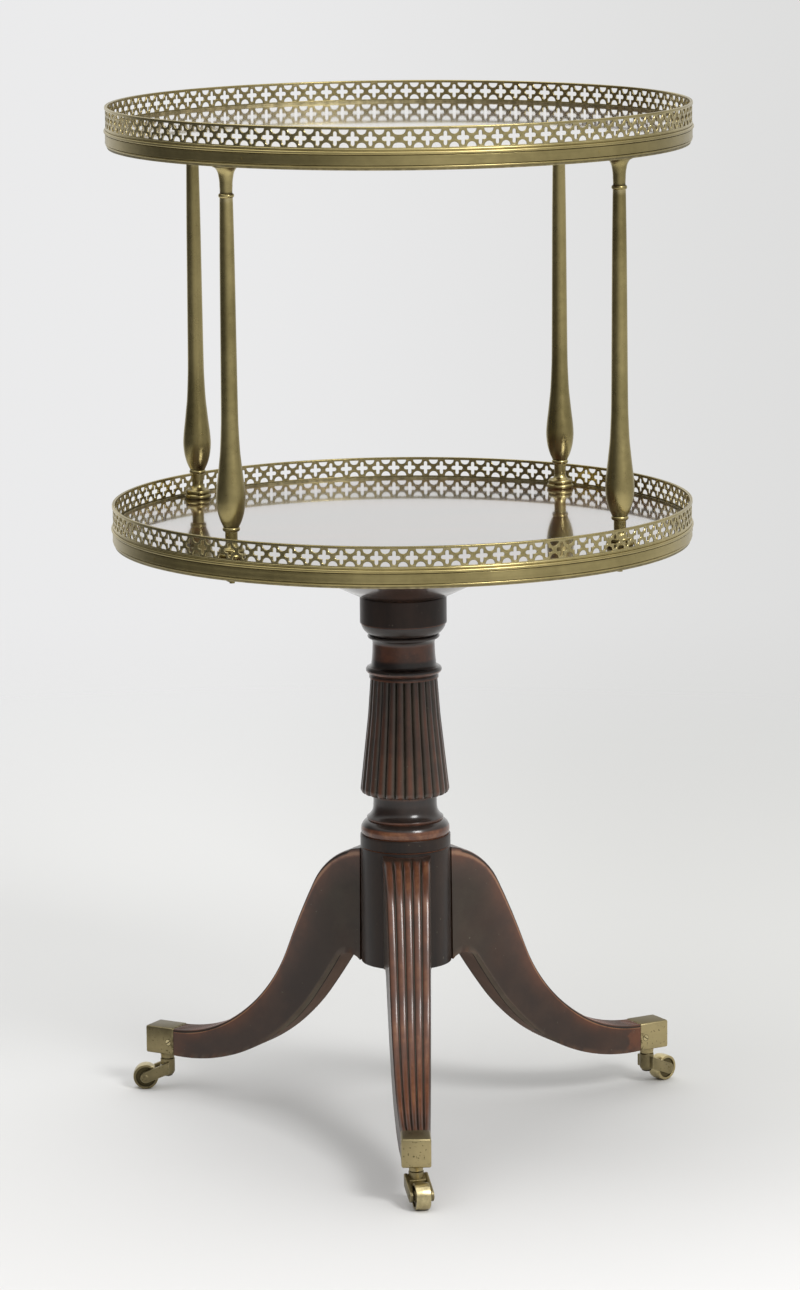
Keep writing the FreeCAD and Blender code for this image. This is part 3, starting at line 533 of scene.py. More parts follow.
# %% Rims and boards
TIERS = {"lower": 500.0, "upper": 828.5}
RIM_TALL, BOARD_TALL = 17.0, 15.6
RIM_OUTLINE = [
    (237.7, 0.0, 0), (238.5, 0.0, 0), (239.3, 2.1, 0), (239.3, 3.6, 0.333),
    (238.8, 3.6, 0), (238.8, 4.1, 0), (240.1, 4.1, 0), (240.3, 4.3, 0.2),
    (240.3, 11.6, -0.02), (240.1, 11.8, 0.2), (238.8, 11.8, 0), (238.8, 12.3, 0),
    (240.4, 12.3, 0), (240.4, 15.0, 0.333), (239.8, 15.0, 0), (239.8, RIM_TALL, 0.2),
    (236.2, RIM_TALL, 0), (236.2, 14.2, 0), (237.7, 14.2, 0),
]
BOARD_OUTLINE = [
    (0.0, 0.0, 0), (237.6, 0.0, 0), (237.6, 14.2, 0), (236.1, 14.2, 0),
    (236.1, 15.3, 0), (235.8, BOARD_TALL, 0.2), (0.0, BOARD_TALL, 0),
]
RING_SIDES = 240

for tier, foot_z in TIERS.items():
    bm = bmesh.new()
    turn(bm, outline(RIM_OUTLINE, foot_z), RING_SIDES, ring=True)
    piece(tier + "_tray_rim", bm, "stand", rim_brass, [tier + "_rim_band"])
    bm = bmesh.new()
    turn(bm, outline(BOARD_OUTLINE, foot_z), RING_SIDES)
    piece(tier + "_tray_board", bm, "stand", board_polish, [tier + "_board"])

# %% [markdown]
# ## The pierced galleries
# The gallery is a cast brass strip that repeats one motif: a cross with round ends between half rounds
# that hang from the rail and rise from the foot. It could be cut from a ring with booleans, but hundreds
# of cuts are slow and leave ragged faces. So the metal of a quarter motif is drawn as one flat face.

# %% One motif
STRIP_TALL = 14.0
CROSS_REACH, CROSS_RISE = 5.0, 5.6
BAR_HALF, POST_HALF = 1.65, 1.45
BITE_RADIUS = 3.9


def round_corner(centre, radius, start_deg, end_deg, cuts):
    angles = [math.radians(start_deg + (end_deg - start_deg) * k / cuts) for k in range(cuts + 1)]
    return [(centre[0] + radius * math.cos(a), centre[1] + radius * math.sin(a)) for a in angles]


def quarter_motif(half_width):
    """Outline of the metal in the upper right quarter of one motif."""
    half_tall = STRIP_TALL / 2
    points = [(half_width, 0)]
    points += round_corner((half_width, half_tall), BITE_RADIUS, 270, 180, 5)
    points += [(0, half_tall)]
    points += round_corner((0, CROSS_RISE - POST_HALF), POST_HALF, 90, 0, 3)
    points += [(POST_HALF, BAR_HALF)]
    points += round_corner((CROSS_REACH - BAR_HALF, 0), BAR_HALF, 90, 0, 3)
    return points


print("cross", 2 * CROSS_REACH, "mm wide and", 2 * CROSS_RISE, "mm high")

# %% [markdown]
# ## The strip
# Two mirrors make the whole motif. It is bent to the ring's radius, and a spin with copies makes the
# strip. On the upper tray the ends of the strip meet at the front in a narrow plain joint, which is a
# bridge between the two upright edges.

# %% The strip
GALLERY_RADIUS = 239.8
MOTIFS = 108
SEAM_DEG = {"lower": 0.0, "upper": 0.62}


def seam_end(edge, seam_deg):
    """True for the two upright edges on both sides of the joint at the front."""
    reach = GALLERY_RADIUS * math.sin(math.radians(seam_deg / 2)) + WELD
    return all(abs(vert.co.x) < reach and vert.co.y < 0 for vert in edge.verts)


def pierced_strip(bm, seam_deg):
    """A ring of motifs in the upright plane of radius GALLERY_RADIUS, centred on height zero."""
    step = math.radians(360 - seam_deg) / MOTIFS
    half_width = GALLERY_RADIUS * step / 2
    bm.faces.new([bm.verts.new((x, 0, z)) for x, z in quarter_motif(half_width)])
    for side in ("X", "Z"):
        bmesh.ops.mirror(bm, geom=bm.verts[:] + bm.edges[:] + bm.faces[:], axis=side, merge_dist=WELD)
    for vert in bm.verts:
        angle = vert.co.x / GALLERY_RADIUS
        vert.co.x, vert.co.y = GALLERY_RADIUS * math.sin(angle), -GALLERY_RADIUS * math.cos(angle)
    place(bm, bm.verts, math.degrees(step) / 2 + seam_deg / 2)
    bmesh.ops.spin(bm, geom=bm.verts[:] + bm.edges[:] + bm.faces[:], cent=(0, 0, 0), axis=(0, 0, 1),
                   dvec=(0, 0, 0), angle=step * (MOTIFS - 1), steps=MOTIFS - 1, use_duplicate=True)
    bmesh.ops.remove_doubles(bm, verts=bm.verts, dist=WELD)
    if seam_deg:
        ends = [edge for edge in bm.edges if len(edge.link_faces) == 1 and seam_end(edge, seam_deg)]
        bmesh.ops.bridge_loops(bm, edges=ends)


print(MOTIFS, "motifs round the ring, one each", round(360 / MOTIFS, 2), "degrees")

# %% [markdown]
# ## Thickness and rails
# Only the closed strip is given its thickness, so that no walls are left inside where copies meet. A
# small bevel softens the cast edges of the piercings. A plain foot and a proud rail, both turned, close
# the strip below and above.

# %% Galleries
GALLERY_THICK, RAIL_PROUD = 1.2, 0.6
STRIP_FOOT, RAIL_TALL = 0.8, 2.2
CAST_EDGE, CAST_CORNER = 0.28, 1.0
RAIL_ROUND_SHARE = 0.32


def thicken(bm):
    """Gives the strip its thickness inwards and softens the pierced edges."""
    inner = bmesh.ops.extrude_face_region(bm, geom=bm.faces[:])["geom"]
    inner = [item for item in inner if isinstance(item, bmesh.types.BMVert)]
    shrink = 1 - GALLERY_THICK / GALLERY_RADIUS
    bmesh.ops.scale(bm, vec=(shrink, shrink, 1), verts=inner)
    bmesh.ops.recalc_face_normals(bm, faces=bm.faces)
    bm.normal_update()
    inside = STRIP_TALL / 2 - WELD
    pierced = []
    for edge in bm.edges:
        if len(edge.link_faces) == 2 and edge.calc_face_angle() > CAST_CORNER:
            across = abs(edge.verts[0].co.xy.length - edge.verts[1].co.xy.length) > GALLERY_THICK / 2
            if not across and min(abs(vert.co.z) for vert in edge.verts) < inside:
                pierced.append(edge)
    bmesh.ops.bevel(bm, geom=pierced, offset=CAST_EDGE, affect="EDGES", segments=1, profile=0.5,
                    material=-1)


def rail_outline(foot, tall, proud):
    """Closed outline of a plain ring that stands proud of the strip on both sides."""
    inner, outer = GALLERY_RADIUS - GALLERY_THICK - proud, GALLERY_RADIUS + proud
    soft = min(tall, outer - inner) * RAIL_ROUND_SHARE
    top = foot + tall
    return [
        (inner, foot, 0), (outer, foot, 0), (outer, top - soft, 0), (outer - soft, top, 0.2),
        (inner + soft, top, 0), (inner, top - soft, 0.2), (inner, foot, 0),
    ]


for tier, foot_z in TIERS.items():
    bm = bmesh.new()
    pierced_strip(bm, SEAM_DEG[tier])
    thicken(bm)
    place(bm, bm.verts, 0, (0, 0, foot_z + RIM_TALL + STRIP_FOOT + STRIP_TALL / 2))
    turn(bm, outline(rail_outline(0, STRIP_FOOT, 0.0), foot_z + RIM_TALL)[:-1], RING_SIDES, ring=True)
    rail_foot = RIM_TALL + STRIP_FOOT + STRIP_TALL
    turn(bm, outline(rail_outline(rail_foot, RAIL_TALL, RAIL_PROUD), foot_z)[:-1], RING_SIDES, ring=True)
    piece(tier + "_tray_gallery", bm, "stand", gallery_brass, [tier + "_gallery"])

# %% [markdown]
# ## The columns
# A column is three turnings in a row: a ringed foot, a slender shaft that swells to a bulb low down, and
# a flared head under the upper tray. The shaft could be shaped by scaling loops by eye, but a smooth
# curve through a few measured girths keeps its long taper clean.

# %% Column outlines
COLUMN_CIRCLE = 221.5
COLUMNS = {"front_right": -38.0, "back_right": 52.0, "back_left": 142.0, "front_left": 232.0}
FOOT_TALL, SHAFT_TALL, BULB_RADIUS = 21.2, 265.8, 11.8
FOOT_Z = TIERS["lower"] + BOARD_TALL
SHAFT_Z = FOOT_Z + FOOT_TALL
HEAD_Z = SHAFT_Z + SHAFT_TALL
FOOT_OUTLINE = [
    (0, 0, 0), (10.5, 0, 0), (10.5, 3.8, 0.237), (9.5, 3.8, 0), (9.5, 7.6, 0.237),
    (7.25, 7.6, 0), (5.0, 14.4, -0.16), (5.0, FOOT_TALL, 0), (0, FOOT_TALL, 0),
]
COLLAR_OUTLINE = [(0, 0, 0), (5.8, 0, 0), (5.8, 3.7, 0.324), (6.4, 3.7, 0)]
SHAFT_GIRTHS = [
    (0.0139, 0.542), (0.033, 0.737), (0.0557, 0.890), (0.078, 0.970), (0.1016, 1.0), (0.1347, 0.949),
    (0.172, 0.847), (0.210, 0.754), (0.2438, 0.678), (0.304, 0.610), (0.364, 0.576), (0.567, 0.542),
    (0.767, 0.513), (0.88, 0.487), (1.0, 0.449),
]
HEAD_OUTLINE = [
    (0, 0, 0), (5.3, 0, 0), (5.3, 3.4, 0.294), (5.0, 3.4, 0), (5.2, 9.0, -0.01), (6.0, 17.4, -0.03),
    (9.6, 24.3, -0.10), (10.4, 24.3, 0), (10.6, 24.5, 0.2), (10.6, 25.9, 0), (0, 25.9, 0),
]
print("columns from", FOOT_Z, "to", round(HEAD_Z + HEAD_OUTLINE[-1][1], 1), "mm")

# %% [markdown]
# ## Turning the columns
# The curve runs through every girth and heads at each one along the line between its neighbours. The
# three outlines are turned once for each column, moved out to the column's circle and swung round to
# its place.

# %% Columns
COLUMN_SIDES, SPAN_CUTS = 48, 5


def on_curve(p, q, r, s, t):
    """A value at share t between q and r, on a smooth curve through all four."""
    bend = (2 * p - 5 * q + 4 * r - s) * t ** 2
    swing = (3 * q - p - 3 * r + s) * t ** 3
    return 0.5 * (2 * q + (r - p) * t + bend + swing)


def flowing(points, cuts):
    """A smooth line through points, each span cut into equal steps."""
    padded = [points[0]] + points + [points[-1]]
    line = []
    for span in zip(padded, padded[1:], padded[2:], padded[3:]):
        for k in range(cuts):
            line.append(tuple(on_curve(*values, k / cuts) for values in zip(*span)))
    return line + [points[-1]]


girths = [(girth * BULB_RADIUS, share * SHAFT_TALL) for share, girth in SHAFT_GIRTHS]
shaft_line = flowing(girths, SPAN_CUTS)
shaft_line = [(x, z + SHAFT_Z) for x, z in shaft_line]
column_parts = {
    "base": ("foot", outline(FOOT_OUTLINE, FOOT_Z)),
    "shaft": ("shaft", outline(COLLAR_OUTLINE, SHAFT_Z) + shaft_line + [(0, HEAD_Z)]),
    "cap": ("head", outline(HEAD_OUTLINE, HEAD_Z)),
}
for column, azimuth in COLUMNS.items():
    for node, (word, points) in column_parts.items():
        bm = bmesh.new()
        turn(bm, points, COLUMN_SIDES)
        place(bm, bm.verts, 0, (COLUMN_CIRCLE, 0, 0))
        place(bm, bm.verts, azimuth)
        name = column + "_turned_" + word
        piece(name, bm, "stand", column_brass, [column + "_column_" + node])

# %% [markdown]
# ## The dome
# Under the lower tray a shallow dome of mahogany spreads the load. It is a plain turning, and it gets
# many sides because its polish shows any flat.

# %% Dome
DOME_SIDES = 128
DOME_OUTLINE = [
    (0, 453.4, 0), (36.6, 453.4, 0), (100.0, 490.0, 0.03), (100.0, 500.0, 0), (0, 500.0, 0),
]
bm = bmesh.new()
turn(bm, outline(DOME_OUTLINE), DOME_SIDES)
piece("tray_dome", bm, "stand", dome_wood, ["dome_block"])

# %% [markdown]
# ## The pillar's turned parts
# The pillar is one piece of mahogany: a plain block between the legs, a torus and a hollow, the reeded
# vase, then a collar, a neck and a drum under the dome. Everything but the vase is turned, so two
# outlines, one below and one above the vase, hold it.

# %% Pillar outlines
LOW_STEM = [
    (0, 141.8, 0), (37.3, 141.8, 0), (37.8, 142.3, 0.2), (37.8, 240.5, 0), (37.2, 241.1, 0),
    (37.8, 241.7, 0), (37.8, 250.6, 0), (37.1, 251.3, 0.2), (36.2, 251.3, 0), (37.2, 255.8, 0.06),
    (31.6, 263.8, 0.15), (31.3, 263.8, 0), (31.9, 265.1, 0.1), (31.8, 266.1, 0.2), (26.8, 274.0, -0.11),
    (26.8, 286.0, -0.015), (31.2, 286.02, 0),
]
HIGH_STEM = [
    (24.0, 384.3, 0), (29.0, 384.3, 0), (29.0, 386.4, 0), (28.4, 387.2, 0), (29.4, 388.5, 0),
    (29.4, 393.9, 0.426), (27.1, 396.3, -0.12), (26.0, 412.4, -0.015), (27.9, 417.8, -0.13),
    (28.6, 417.8, 0), (28.6, 421.3, 0.43), (35.4, 430.0, 0.12), (35.4, 430.8, 0), (36.2, 430.8, 0),
    (36.2, 452.7, 0), (35.6, 453.3, 0.2), (0, 453.3, 0),
]
print("pillar from", LOW_STEM[0][1], "to", HIGH_STEM[-1][1], "mm")

# %% [markdown]
# ## The reeded vase
# The vase in the middle of the pillar is carved into upright reeds. Carving could be shown by a bump
# alone, but the reeds show in the outline of the foot. So one reed is a small grid that bulges outwards,
# and its copies, spun round the axis, close up into the vase. The grid carries its own marks: crests are
# rubbed, most at the foot, grooves are painted dark, partly as dirt and partly as shade, and the flanks
# get a little grey dust, which also paints their sheen.

# %% Pillar
VASE_FOOT, VASE_TALL, VASE_RADIUS = 286.0, 98.3, 37.3
VASE_GIRTHS = [
    (0.0, 0.880), (0.006, 0.950), (0.015, 0.983), (0.032, 1.0), (0.676, 0.812), (1.0, 0.748),
]
VASE_REEDS, REED_DEPTH = 26, 2.6
REED_CUTS, REED_ROWS, ROW_CROWDING = 8, 24, 1.6
PILLAR_SIDES = 96


def eased(value, low, high):
    """0 at low and 1 at high, eased at both ends."""
    t = min(1, max(0, (value - low) / (high - low)))
    return t * t * (3 - 2 * t)


def girth_at(share):
    """Crest radius of the vase at a share of its height."""
    for (low, first), (high, last) in zip(VASE_GIRTHS, VASE_GIRTHS[1:]):
        if share <= high:
            return VASE_RADIUS * (first + (last - first) * (share - low) / (high - low))
    return VASE_RADIUS * VASE_GIRTHS[-1][1]


def vase_reeds(bm):
    """Bulges one grid into a reed and spins copies of it."""
    before = set(bm.verts)
    bmesh.ops.create_grid(bm, x_segments=REED_CUTS, y_segments=REED_ROWS, size=1)
    made = [vert for vert in bm.verts if vert not in before]
    wear, grime, dust = (bm.verts.layers.float[mark] for mark in ("wear", "grime", "dust"))
    half = math.pi / VASE_REEDS
    for vert in made:
        across, share = vert.co.x, ((vert.co.y + 1) / 2) ** ROW_CROWDING
        crown = math.sqrt(max(0, 1 - across ** 2))
        radius = girth_at(share) - REED_DEPTH * (1 - crown)
        vert[wear] = (0.66 - 0.30 * share) * crown ** 4
        # darker grooves: dirt and painted shade
        vert[grime] = eased(abs(across), 0.62, 0.9)
        # grey on the flanks: dust that also paints the reeds' sheen
        vert[dust] = 0.25 * eased(abs(across), 0.3, 0.6)
        vert.co = Vector((radius * math.cos(across * half), radius * math.sin(across * half),
                          VASE_FOOT + share * VASE_TALL))
    reed = made + [face for face in bm.faces if face.verts[0] not in before]
    bmesh.ops.spin(bm, geom=reed, cent=(0, 0, 0), axis=(0, 0, 1), dvec=(0, 0, 0),
                   angle=2 * half * (VASE_REEDS - 1), steps=VASE_REEDS - 1, use_duplicate=True)
    made = [vert for vert in bm.verts if vert not in before]
    bmesh.ops.remove_doubles(bm, verts=made, dist=WELD)


bm = bmesh.new()
for mark in ("wear", "grime", "dust"):
    bm.verts.layers.float.new(mark)
vase_reeds(bm)
turn(bm, outline(LOW_STEM), PILLAR_SIDES)
turn(bm, outline(HIGH_STEM), PILLAR_SIDES)
piece("reeded_pillar", bm, "stand", pillar_wood, ["pillar"], sharp_deg=40)

# %% [markdown]
# ## The sabre legs
# A leg sweeps down in two curves, one for its reeded top and one for its underside. They are measured
# as a few points, written as shares of the leg's reach and rise. Circular runs that flow into each other
# join the points, as a maker would draw them on the board, and both curves are cut into equal steps.

# %% Leg curves
LEGS = {"front": -88.6, "right": 29.8, "left": 150.4}
LEG_REACH = 226.0
TOE_LOW, TOE_HIGH = 33.3, 56.7
ROOT_LOW, ROOT_HIGH = 141.8, 238.5
TOP_SHARES = [(0.146, 1.0), (0.354, 0.817), (0.4735, 0.488), (0.739, 0.0916), (1.0, 0.0)]
UNDER_SHARES = [(1.0, 0.0), (0.920, 0.0), (0.662, 0.135), (0.362, 0.650), (0.2560, 0.978), (0.150, 1.0)]
TOP_HEADING, UNDER_HEADING = -8.0, 183.4
TOE_WIDTH, LEG_TAPER = 23.4, 0.085
LEG_STATIONS, LEG_STEP = 64, math.radians(2)


def tangent_line(points, heading_deg):
    """Circular runs that flow into each other through points."""
    heading = math.radians(heading_deg)
    line = [points[0]]
    for start, end in zip(points, points[1:]):
        chord = math.atan2(end[1] - start[1], end[0] - start[0])
        bend = math.remainder(chord - heading, 2 * math.pi)
        bow = math.tan(bend / 2) / 2
        line += bowed_run(start, end, bow, LEG_STEP) if abs(bow) > 1e-6 else [end]
        heading = chord + bend
    return line


def evenly(line, count):
    """Points at equal steps along a line."""
    lengths = [math.dist(a, b) for a, b in zip(line, line[1:])]
    step = sum(lengths) / count
    spaced, walked, index = [line[0]], 0.0, 0
    for k in range(1, count):
        while walked + lengths[index] < k * step:
            walked += lengths[index]
            index += 1
        t = (k * step - walked) / lengths[index]
        spaced.append(tuple(p + (q - p) * t for p, q in zip(line[index], line[index + 1])))
    return spaced + [line[-1]]


top_points = [(x * LEG_REACH, TOE_HIGH + z * (ROOT_HIGH - TOE_HIGH)) for x, z in TOP_SHARES]
under_points = [(x * LEG_REACH, TOE_LOW + z * (ROOT_LOW - TOE_LOW)) for x, z in UNDER_SHARES]
top_line = evenly(tangent_line(top_points, TOP_HEADING), LEG_STATIONS)
under_line = evenly(tangent_line(under_points, UNDER_HEADING)[::-1], LEG_STATIONS)
print("leg stations:", len(top_line), len(under_line))

# %% [markdown]
# ## The section of a leg
# A leg could be sawn from a block with booleans, but its reeds would then be cut across by stray edges.
# It is made like a sleeve instead, a flat grid whose rows run down the leg and whose columns go round
# its section. The section has five reeds on top, plain sides, and chamfered lower arrises with a fine
# quirk beside them that dies out half way down.

# %% Leg section
LEG_REEDS, LEG_REED_DEPTH, REED_HALF = 5, 2.5, 0.93
REED_SAMPLES = (-1.0, -0.93, -0.88, -0.74, -0.5, -0.2, 0.2, 0.5, 0.74, 0.88, 0.93)
REEDS_BEGIN = 41.0, 46.0
WALL_WEAR = {0.02: 1.6, 0.06: 0.5, 0.35: 0.24, 0.7: 0.0, 0.97: 0.0}
CHAMFER, CHAMFER_BEGINS, CHAMFER_ENDS = 4.2, (50, 60), (140, 96)
QUIRK, QUIRK_BEGINS, QUIRK_ENDS = 1.7, (52, 58), (116, 100)
CHAMFER_LEAN, QUIRK_FLOOR_SHARE, QUIRK_FAR_SHARE = 0.8, 0.35, 0.8
QUIRK_SHADE = 1.4


def leg_section():
    """Once round the leg: (where, across share, reed position) for each column of the sleeve."""
    ring = []
    for reed in range(LEG_REEDS):
        for q in REED_SAMPLES:
            ring.append(("top", (2 * reed + 1 + q) / LEG_REEDS - 1, q))
    ring.append(("top", 1.0, 1.0))
    for side in (1, -1):
        walls = [("wall", side, share) for share in WALL_WEAR]
        lower = [("arris", side, 0), ("chamfer", side, 0), ("quirk", side, 0), ("flat", side, 0),
                 ("flat", side, QUIRK_SHADE)]
        ring += walls + lower if side == 1 else (walls + lower)[::-1]
    return ring + [ring[0]]


def reed_crown(position):
    """Height of a reed at a position from -1 to 1 across it, as a share of its depth."""
    return math.sqrt(max(0, 1 - (position / REED_HALF) ** 2))


def lower_cuts(reach):
    """Size of the chamfer and of the quirk at a distance from the axis."""
    chamfer = CHAMFER * eased(reach, *CHAMFER_BEGINS) * eased(reach, *CHAMFER_ENDS)
    quirk = QUIRK * eased(reach, *QUIRK_BEGINS) * eased(reach, *QUIRK_ENDS)
    return chamfer, quirk


def leg_cut(where, value, reach, depth, chamfer, quirk):
    """How far a column of the sleeve lies below the top curve and inside the plain side."""
    if where == "top":
        return LEG_REED_DEPTH * (1 - reed_crown(value)) * eased(reach, *REEDS_BEGIN), 0.0
    if where == "wall":
        return LEG_REED_DEPTH + (depth - LEG_REED_DEPTH - CHAMFER) * value, 0.0
    if where == "arris":
        return depth - chamfer, 0.0
    if where == "chamfer":
        return depth, chamfer * CHAMFER_LEAN
    if where == "quirk":
        return depth - quirk, chamfer * CHAMFER_LEAN + quirk * QUIRK_FLOOR_SHARE
    return depth, chamfer * CHAMFER_LEAN + quirk * QUIRK_FAR_SHARE + value


print("columns round a leg:", len(leg_section()) - 1)

# %% [markdown]
# ## Wear on a leg
# The crests of the reeds and the upper arrises are rubbed red, the grooves between reeds hold dirt and
# dust and are painted dark as shade as well, the wall is painted darker near the pillar as shade, the
# quirk is painted dark as shade, and the underside is nearly bare wood. The sleeve knows which column is
# which, so each column carries its own marks and no edge has to be searched for.

# %% Leg marks
RUBBED_TOE = 185, 215
GROOVE_GRIME_AND_SHADE, GROOVE_DUST = (0.70, 0.88), (0.90, 0.97)
SHADED_ROOT, ROOT_PAINTED_SHADE, ROOT_DUST = (100, 50), 0.5, 0.16
ARRIS_COLUMNS = 0.06


def leg_marks(where, across, value, reach, chamfer, quirk):
    """Wear, dirt with painted shade, dust and bare wood on a column of the sleeve."""
    if where == "top":
        reeded = eased(reach, *REEDS_BEGIN)
        wear = 0.85 * reed_crown(value) * reeded * (1 - 0.5 * eased(reach, *RUBBED_TOE))
        inner = reeded * (0 if abs(across) == 1 else 1)
        # grooves between reeds: dirt and painted shade, with dust towards their floors
        return wear, eased(abs(value), *GROOVE_GRIME_AND_SHADE) * inner, eased(abs(value), *GROOVE_DUST) * inner, 0.0
    if where == "wall":
        # near the pillar the wall loses its wear and is painted darker, as shade, with a little dust
        root = eased(reach, *SHADED_ROOT) if value > ARRIS_COLUMNS else 0.0
        return WALL_WEAR[value] * (1 - root), ROOT_PAINTED_SHADE * root, ROOT_DUST * root, 0.0
    if where == "arris":
        return 0.35, 0.0, 0.35, 0.0
    if where == "chamfer":
        return 0.0, 0.0, 0.7 * eased(chamfer, 0, 2), 0.5
    # the quirk and the flat beside it are painted dark, as shade
    shaded = eased(quirk, 0, 0.5)
    if where == "quirk":
        return 0.0, shaded, 0.0, 0.0
    return 0.0, (0.0 if value else shaded), 0.0, 1.0


print("dull wood reaches", SHADED_ROOT[0], "mm from the axis")

# %% [markdown]
# ## The sleeve
# Every point of the flat grid moves to its place between the two curves. The sides draw together
# towards the toe, so the half width follows the distance from the axis. The seam is welded and both ends
# are filled, which makes the leg a closed solid.

# %% Legs
def leg_half(reach):
    return (TOE_WIDTH + LEG_TAPER * (LEG_REACH - reach)) / 2


def leg_spot(where, across, value, top, under):
    """A point of the sleeve between a top and an underside point, and its marks."""
    down = Vector((under[0] - top[0], under[1] - top[1]))
    depth = down.length
    chamfer, quirk = lower_cuts(under[0])
    run, inset = leg_cut(where, value, top[0], depth, chamfer, quirk)
    spot = Vector(top) + down.normalized() * run
    half = leg_half(top[0]) + (leg_half(under[0]) - leg_half(top[0])) * run / depth
    sign = 1 if across >= 0 else -1
    point = Vector((spot.x, across * half - sign * inset, spot.y))
    return point, leg_marks(where, across, value, top[0], chamfer, quirk)


def leg_sleeve(bm):
    marks = [bm.verts.layers.float.new(mark) for mark in ("wear", "grime", "dust", "bare")]
    ring = leg_section()
    grid = bmesh.ops.create_grid(bm, x_segments=LEG_STATIONS, y_segments=len(ring) - 1, size=1)
    for vert in grid["verts"]:
        station = round((vert.co.x + 1) / 2 * LEG_STATIONS)
        column = round((vert.co.y + 1) / 2 * (len(ring) - 1))
        where, across, value = ring[column]
        vert.co, values = leg_spot(where, across, value, top_line[station], under_line[station])
        for mark, amount in zip(marks, values):
            vert[mark] = amount
    bmesh.ops.remove_doubles(bm, verts=bm.verts, dist=WELD)
    ends = [edge for edge in bm.edges if len(edge.link_faces) == 1]
    bmesh.ops.holes_fill(bm, edges=ends, sides=0)


for leg, azimuth in LEGS.items():
    bm = bmesh.new()
    leg_sleeve(bm)
    place(bm, bm.verts, azimuth)
    piece(leg + "_sabre_leg", bm, "stand", leg_wood, [leg + "_leg"], sharp_deg=48, marked=False)

# %% [markdown]
# ## Toe caps
# A toe cap is a cast brass box with softened edges and a short boss below for the caster's pin. Its
# rounded corners could be drawn point by point, but a cube with bevelled edges gets them all alike. The
# boss is a small turning.

# %% Toe caps
CAP_INNER, CAP_OUTER, CAP_HALF = 226.0, 254.0, 12.0
CAP_LOW, CAP_HIGH = 33.0, 57.0
CAP_EDGE = 1.6
PIVOT_REACH, BOSS_SIDES = 239.5, 32
BOSS_OUTLINE = [
    (0, 27.3, 0), (5.4, 27.3, 0), (5.7, 27.6, 0.2), (7.2, 33.0, -0.06), (7.2, 34.0, 0), (0, 34.0, 0),
]


def toe_cap(bm):
    made = bmesh.ops.create_cube(bm, size=1)["verts"]
    size = (CAP_OUTER - CAP_INNER, 2 * CAP_HALF, CAP_HIGH - CAP_LOW)
    middle = ((CAP_INNER + CAP_OUTER) / 2, 0, (CAP_LOW + CAP_HIGH) / 2)
    bmesh.ops.scale(bm, vec=size, verts=made)
    bmesh.ops.translate(bm, vec=middle, verts=made)
    bmesh.ops.bevel(bm, geom=bm.edges[:], offset=CAP_EDGE, affect="EDGES", segments=3, profile=0.5,
                    material=-1)
    boss = turn(bm, outline(BOSS_OUTLINE), BOSS_SIDES)
    place(bm, boss, 0, (PIVOT_REACH, 0, 0))


for leg, azimuth in LEGS.items():
    bm = bmesh.new()
    toe_cap(bm)
    place(bm, bm.verts, azimuth)
    piece(leg + "_brass_toe", bm, "stand", caster_brass, [leg + "_toe_cap"], sharp_deg=50)

# %% [markdown]
# ## Screw heads
# Two countersunk screws hold each cap to the leg from the sides. Cutting the slots out of the cap would
# spoil its clean box, so a head is two half discs that stand a hair proud over a seat, and the gap
# between them is the slot. The seat is painted dark, as the shade round a sunk head.

# %% Screw heads
SCREW_REACH, SCREW_Z, SCREW_RADIUS = 231.2, 44.04, 2.5
SEAT_RADIUS, SLOT_HALF, SLOT_TURN = 2.9, 0.4, 35
SEAT_PROUD, HEAD_PROUD = 0.05, 0.20
SCREW_SIDES = 24


def flat_disc(bm, radius):
    return bmesh.ops.create_circle(bm, cap_ends=True, radius=radius, segments=SCREW_SIDES)["verts"]


def slotted_head(bm, side):
    """A screw head in the side of the cap: two half discs over a seat painted dark as shade."""
    before = set(bm.verts)
    grime = bm.verts.layers.float["grime"]
    # the seat is painted dark, as shade round the head
    for vert in flat_disc(bm, SEAT_RADIUS):
        vert[grime] = 1.0
    for half in (1, -1):
        disc = flat_disc(bm, SCREW_RADIUS)
        faces = list({face for vert in disc for face in vert.link_faces})
        edges = list({edge for face in faces for edge in face.edges})
        cut = bmesh.ops.bisect_plane(bm, geom=disc + faces + edges, plane_co=(0, half * SLOT_HALF, 0),
                                     plane_no=(0, half, 0), clear_inner=True)["geom"]
        lids = [item for item in cut if isinstance(item, bmesh.types.BMFace)]
        raised = bmesh.ops.extrude_face_region(bm, geom=lids)["geom"]
        tops = [item for item in raised if isinstance(item, bmesh.types.BMVert)]
        bmesh.ops.translate(bm, vec=(0, 0, HEAD_PROUD - SEAT_PROUD), verts=tops)
    made = [vert for vert in bm.verts if vert not in before]
    place(bm, made, SLOT_TURN * side)
    bmesh.ops.transform(bm, matrix=Matrix.Rotation(math.radians(-90 * side), 4, "X"), verts=made)
    place(bm, made, 0, (SCREW_REACH, side * (CAP_HALF + SEAT_PROUD), SCREW_Z))


screws = bmesh.new()
screws.verts.layers.float.new("grime")
for azimuth in LEGS.values():
    before = set(screws.verts)
    for side in (1, -1):
        slotted_head(screws, side)
    place(screws, [vert for vert in screws.verts if vert not in before], azimuth)
piece("toe_cap_screw_heads", screws, "stand", caster_brass, ["toe_cap_screws"])

# %% [markdown]
# ## Casters
# Each caster is a brass horn that turns on an upright pin: a round barrel with two arms that reach
# down and back to a small wheel. The barrel is turned. The arms and the shoulder between them are
# flat outlines, extruded into plates with softened edges, which is how such castings look.

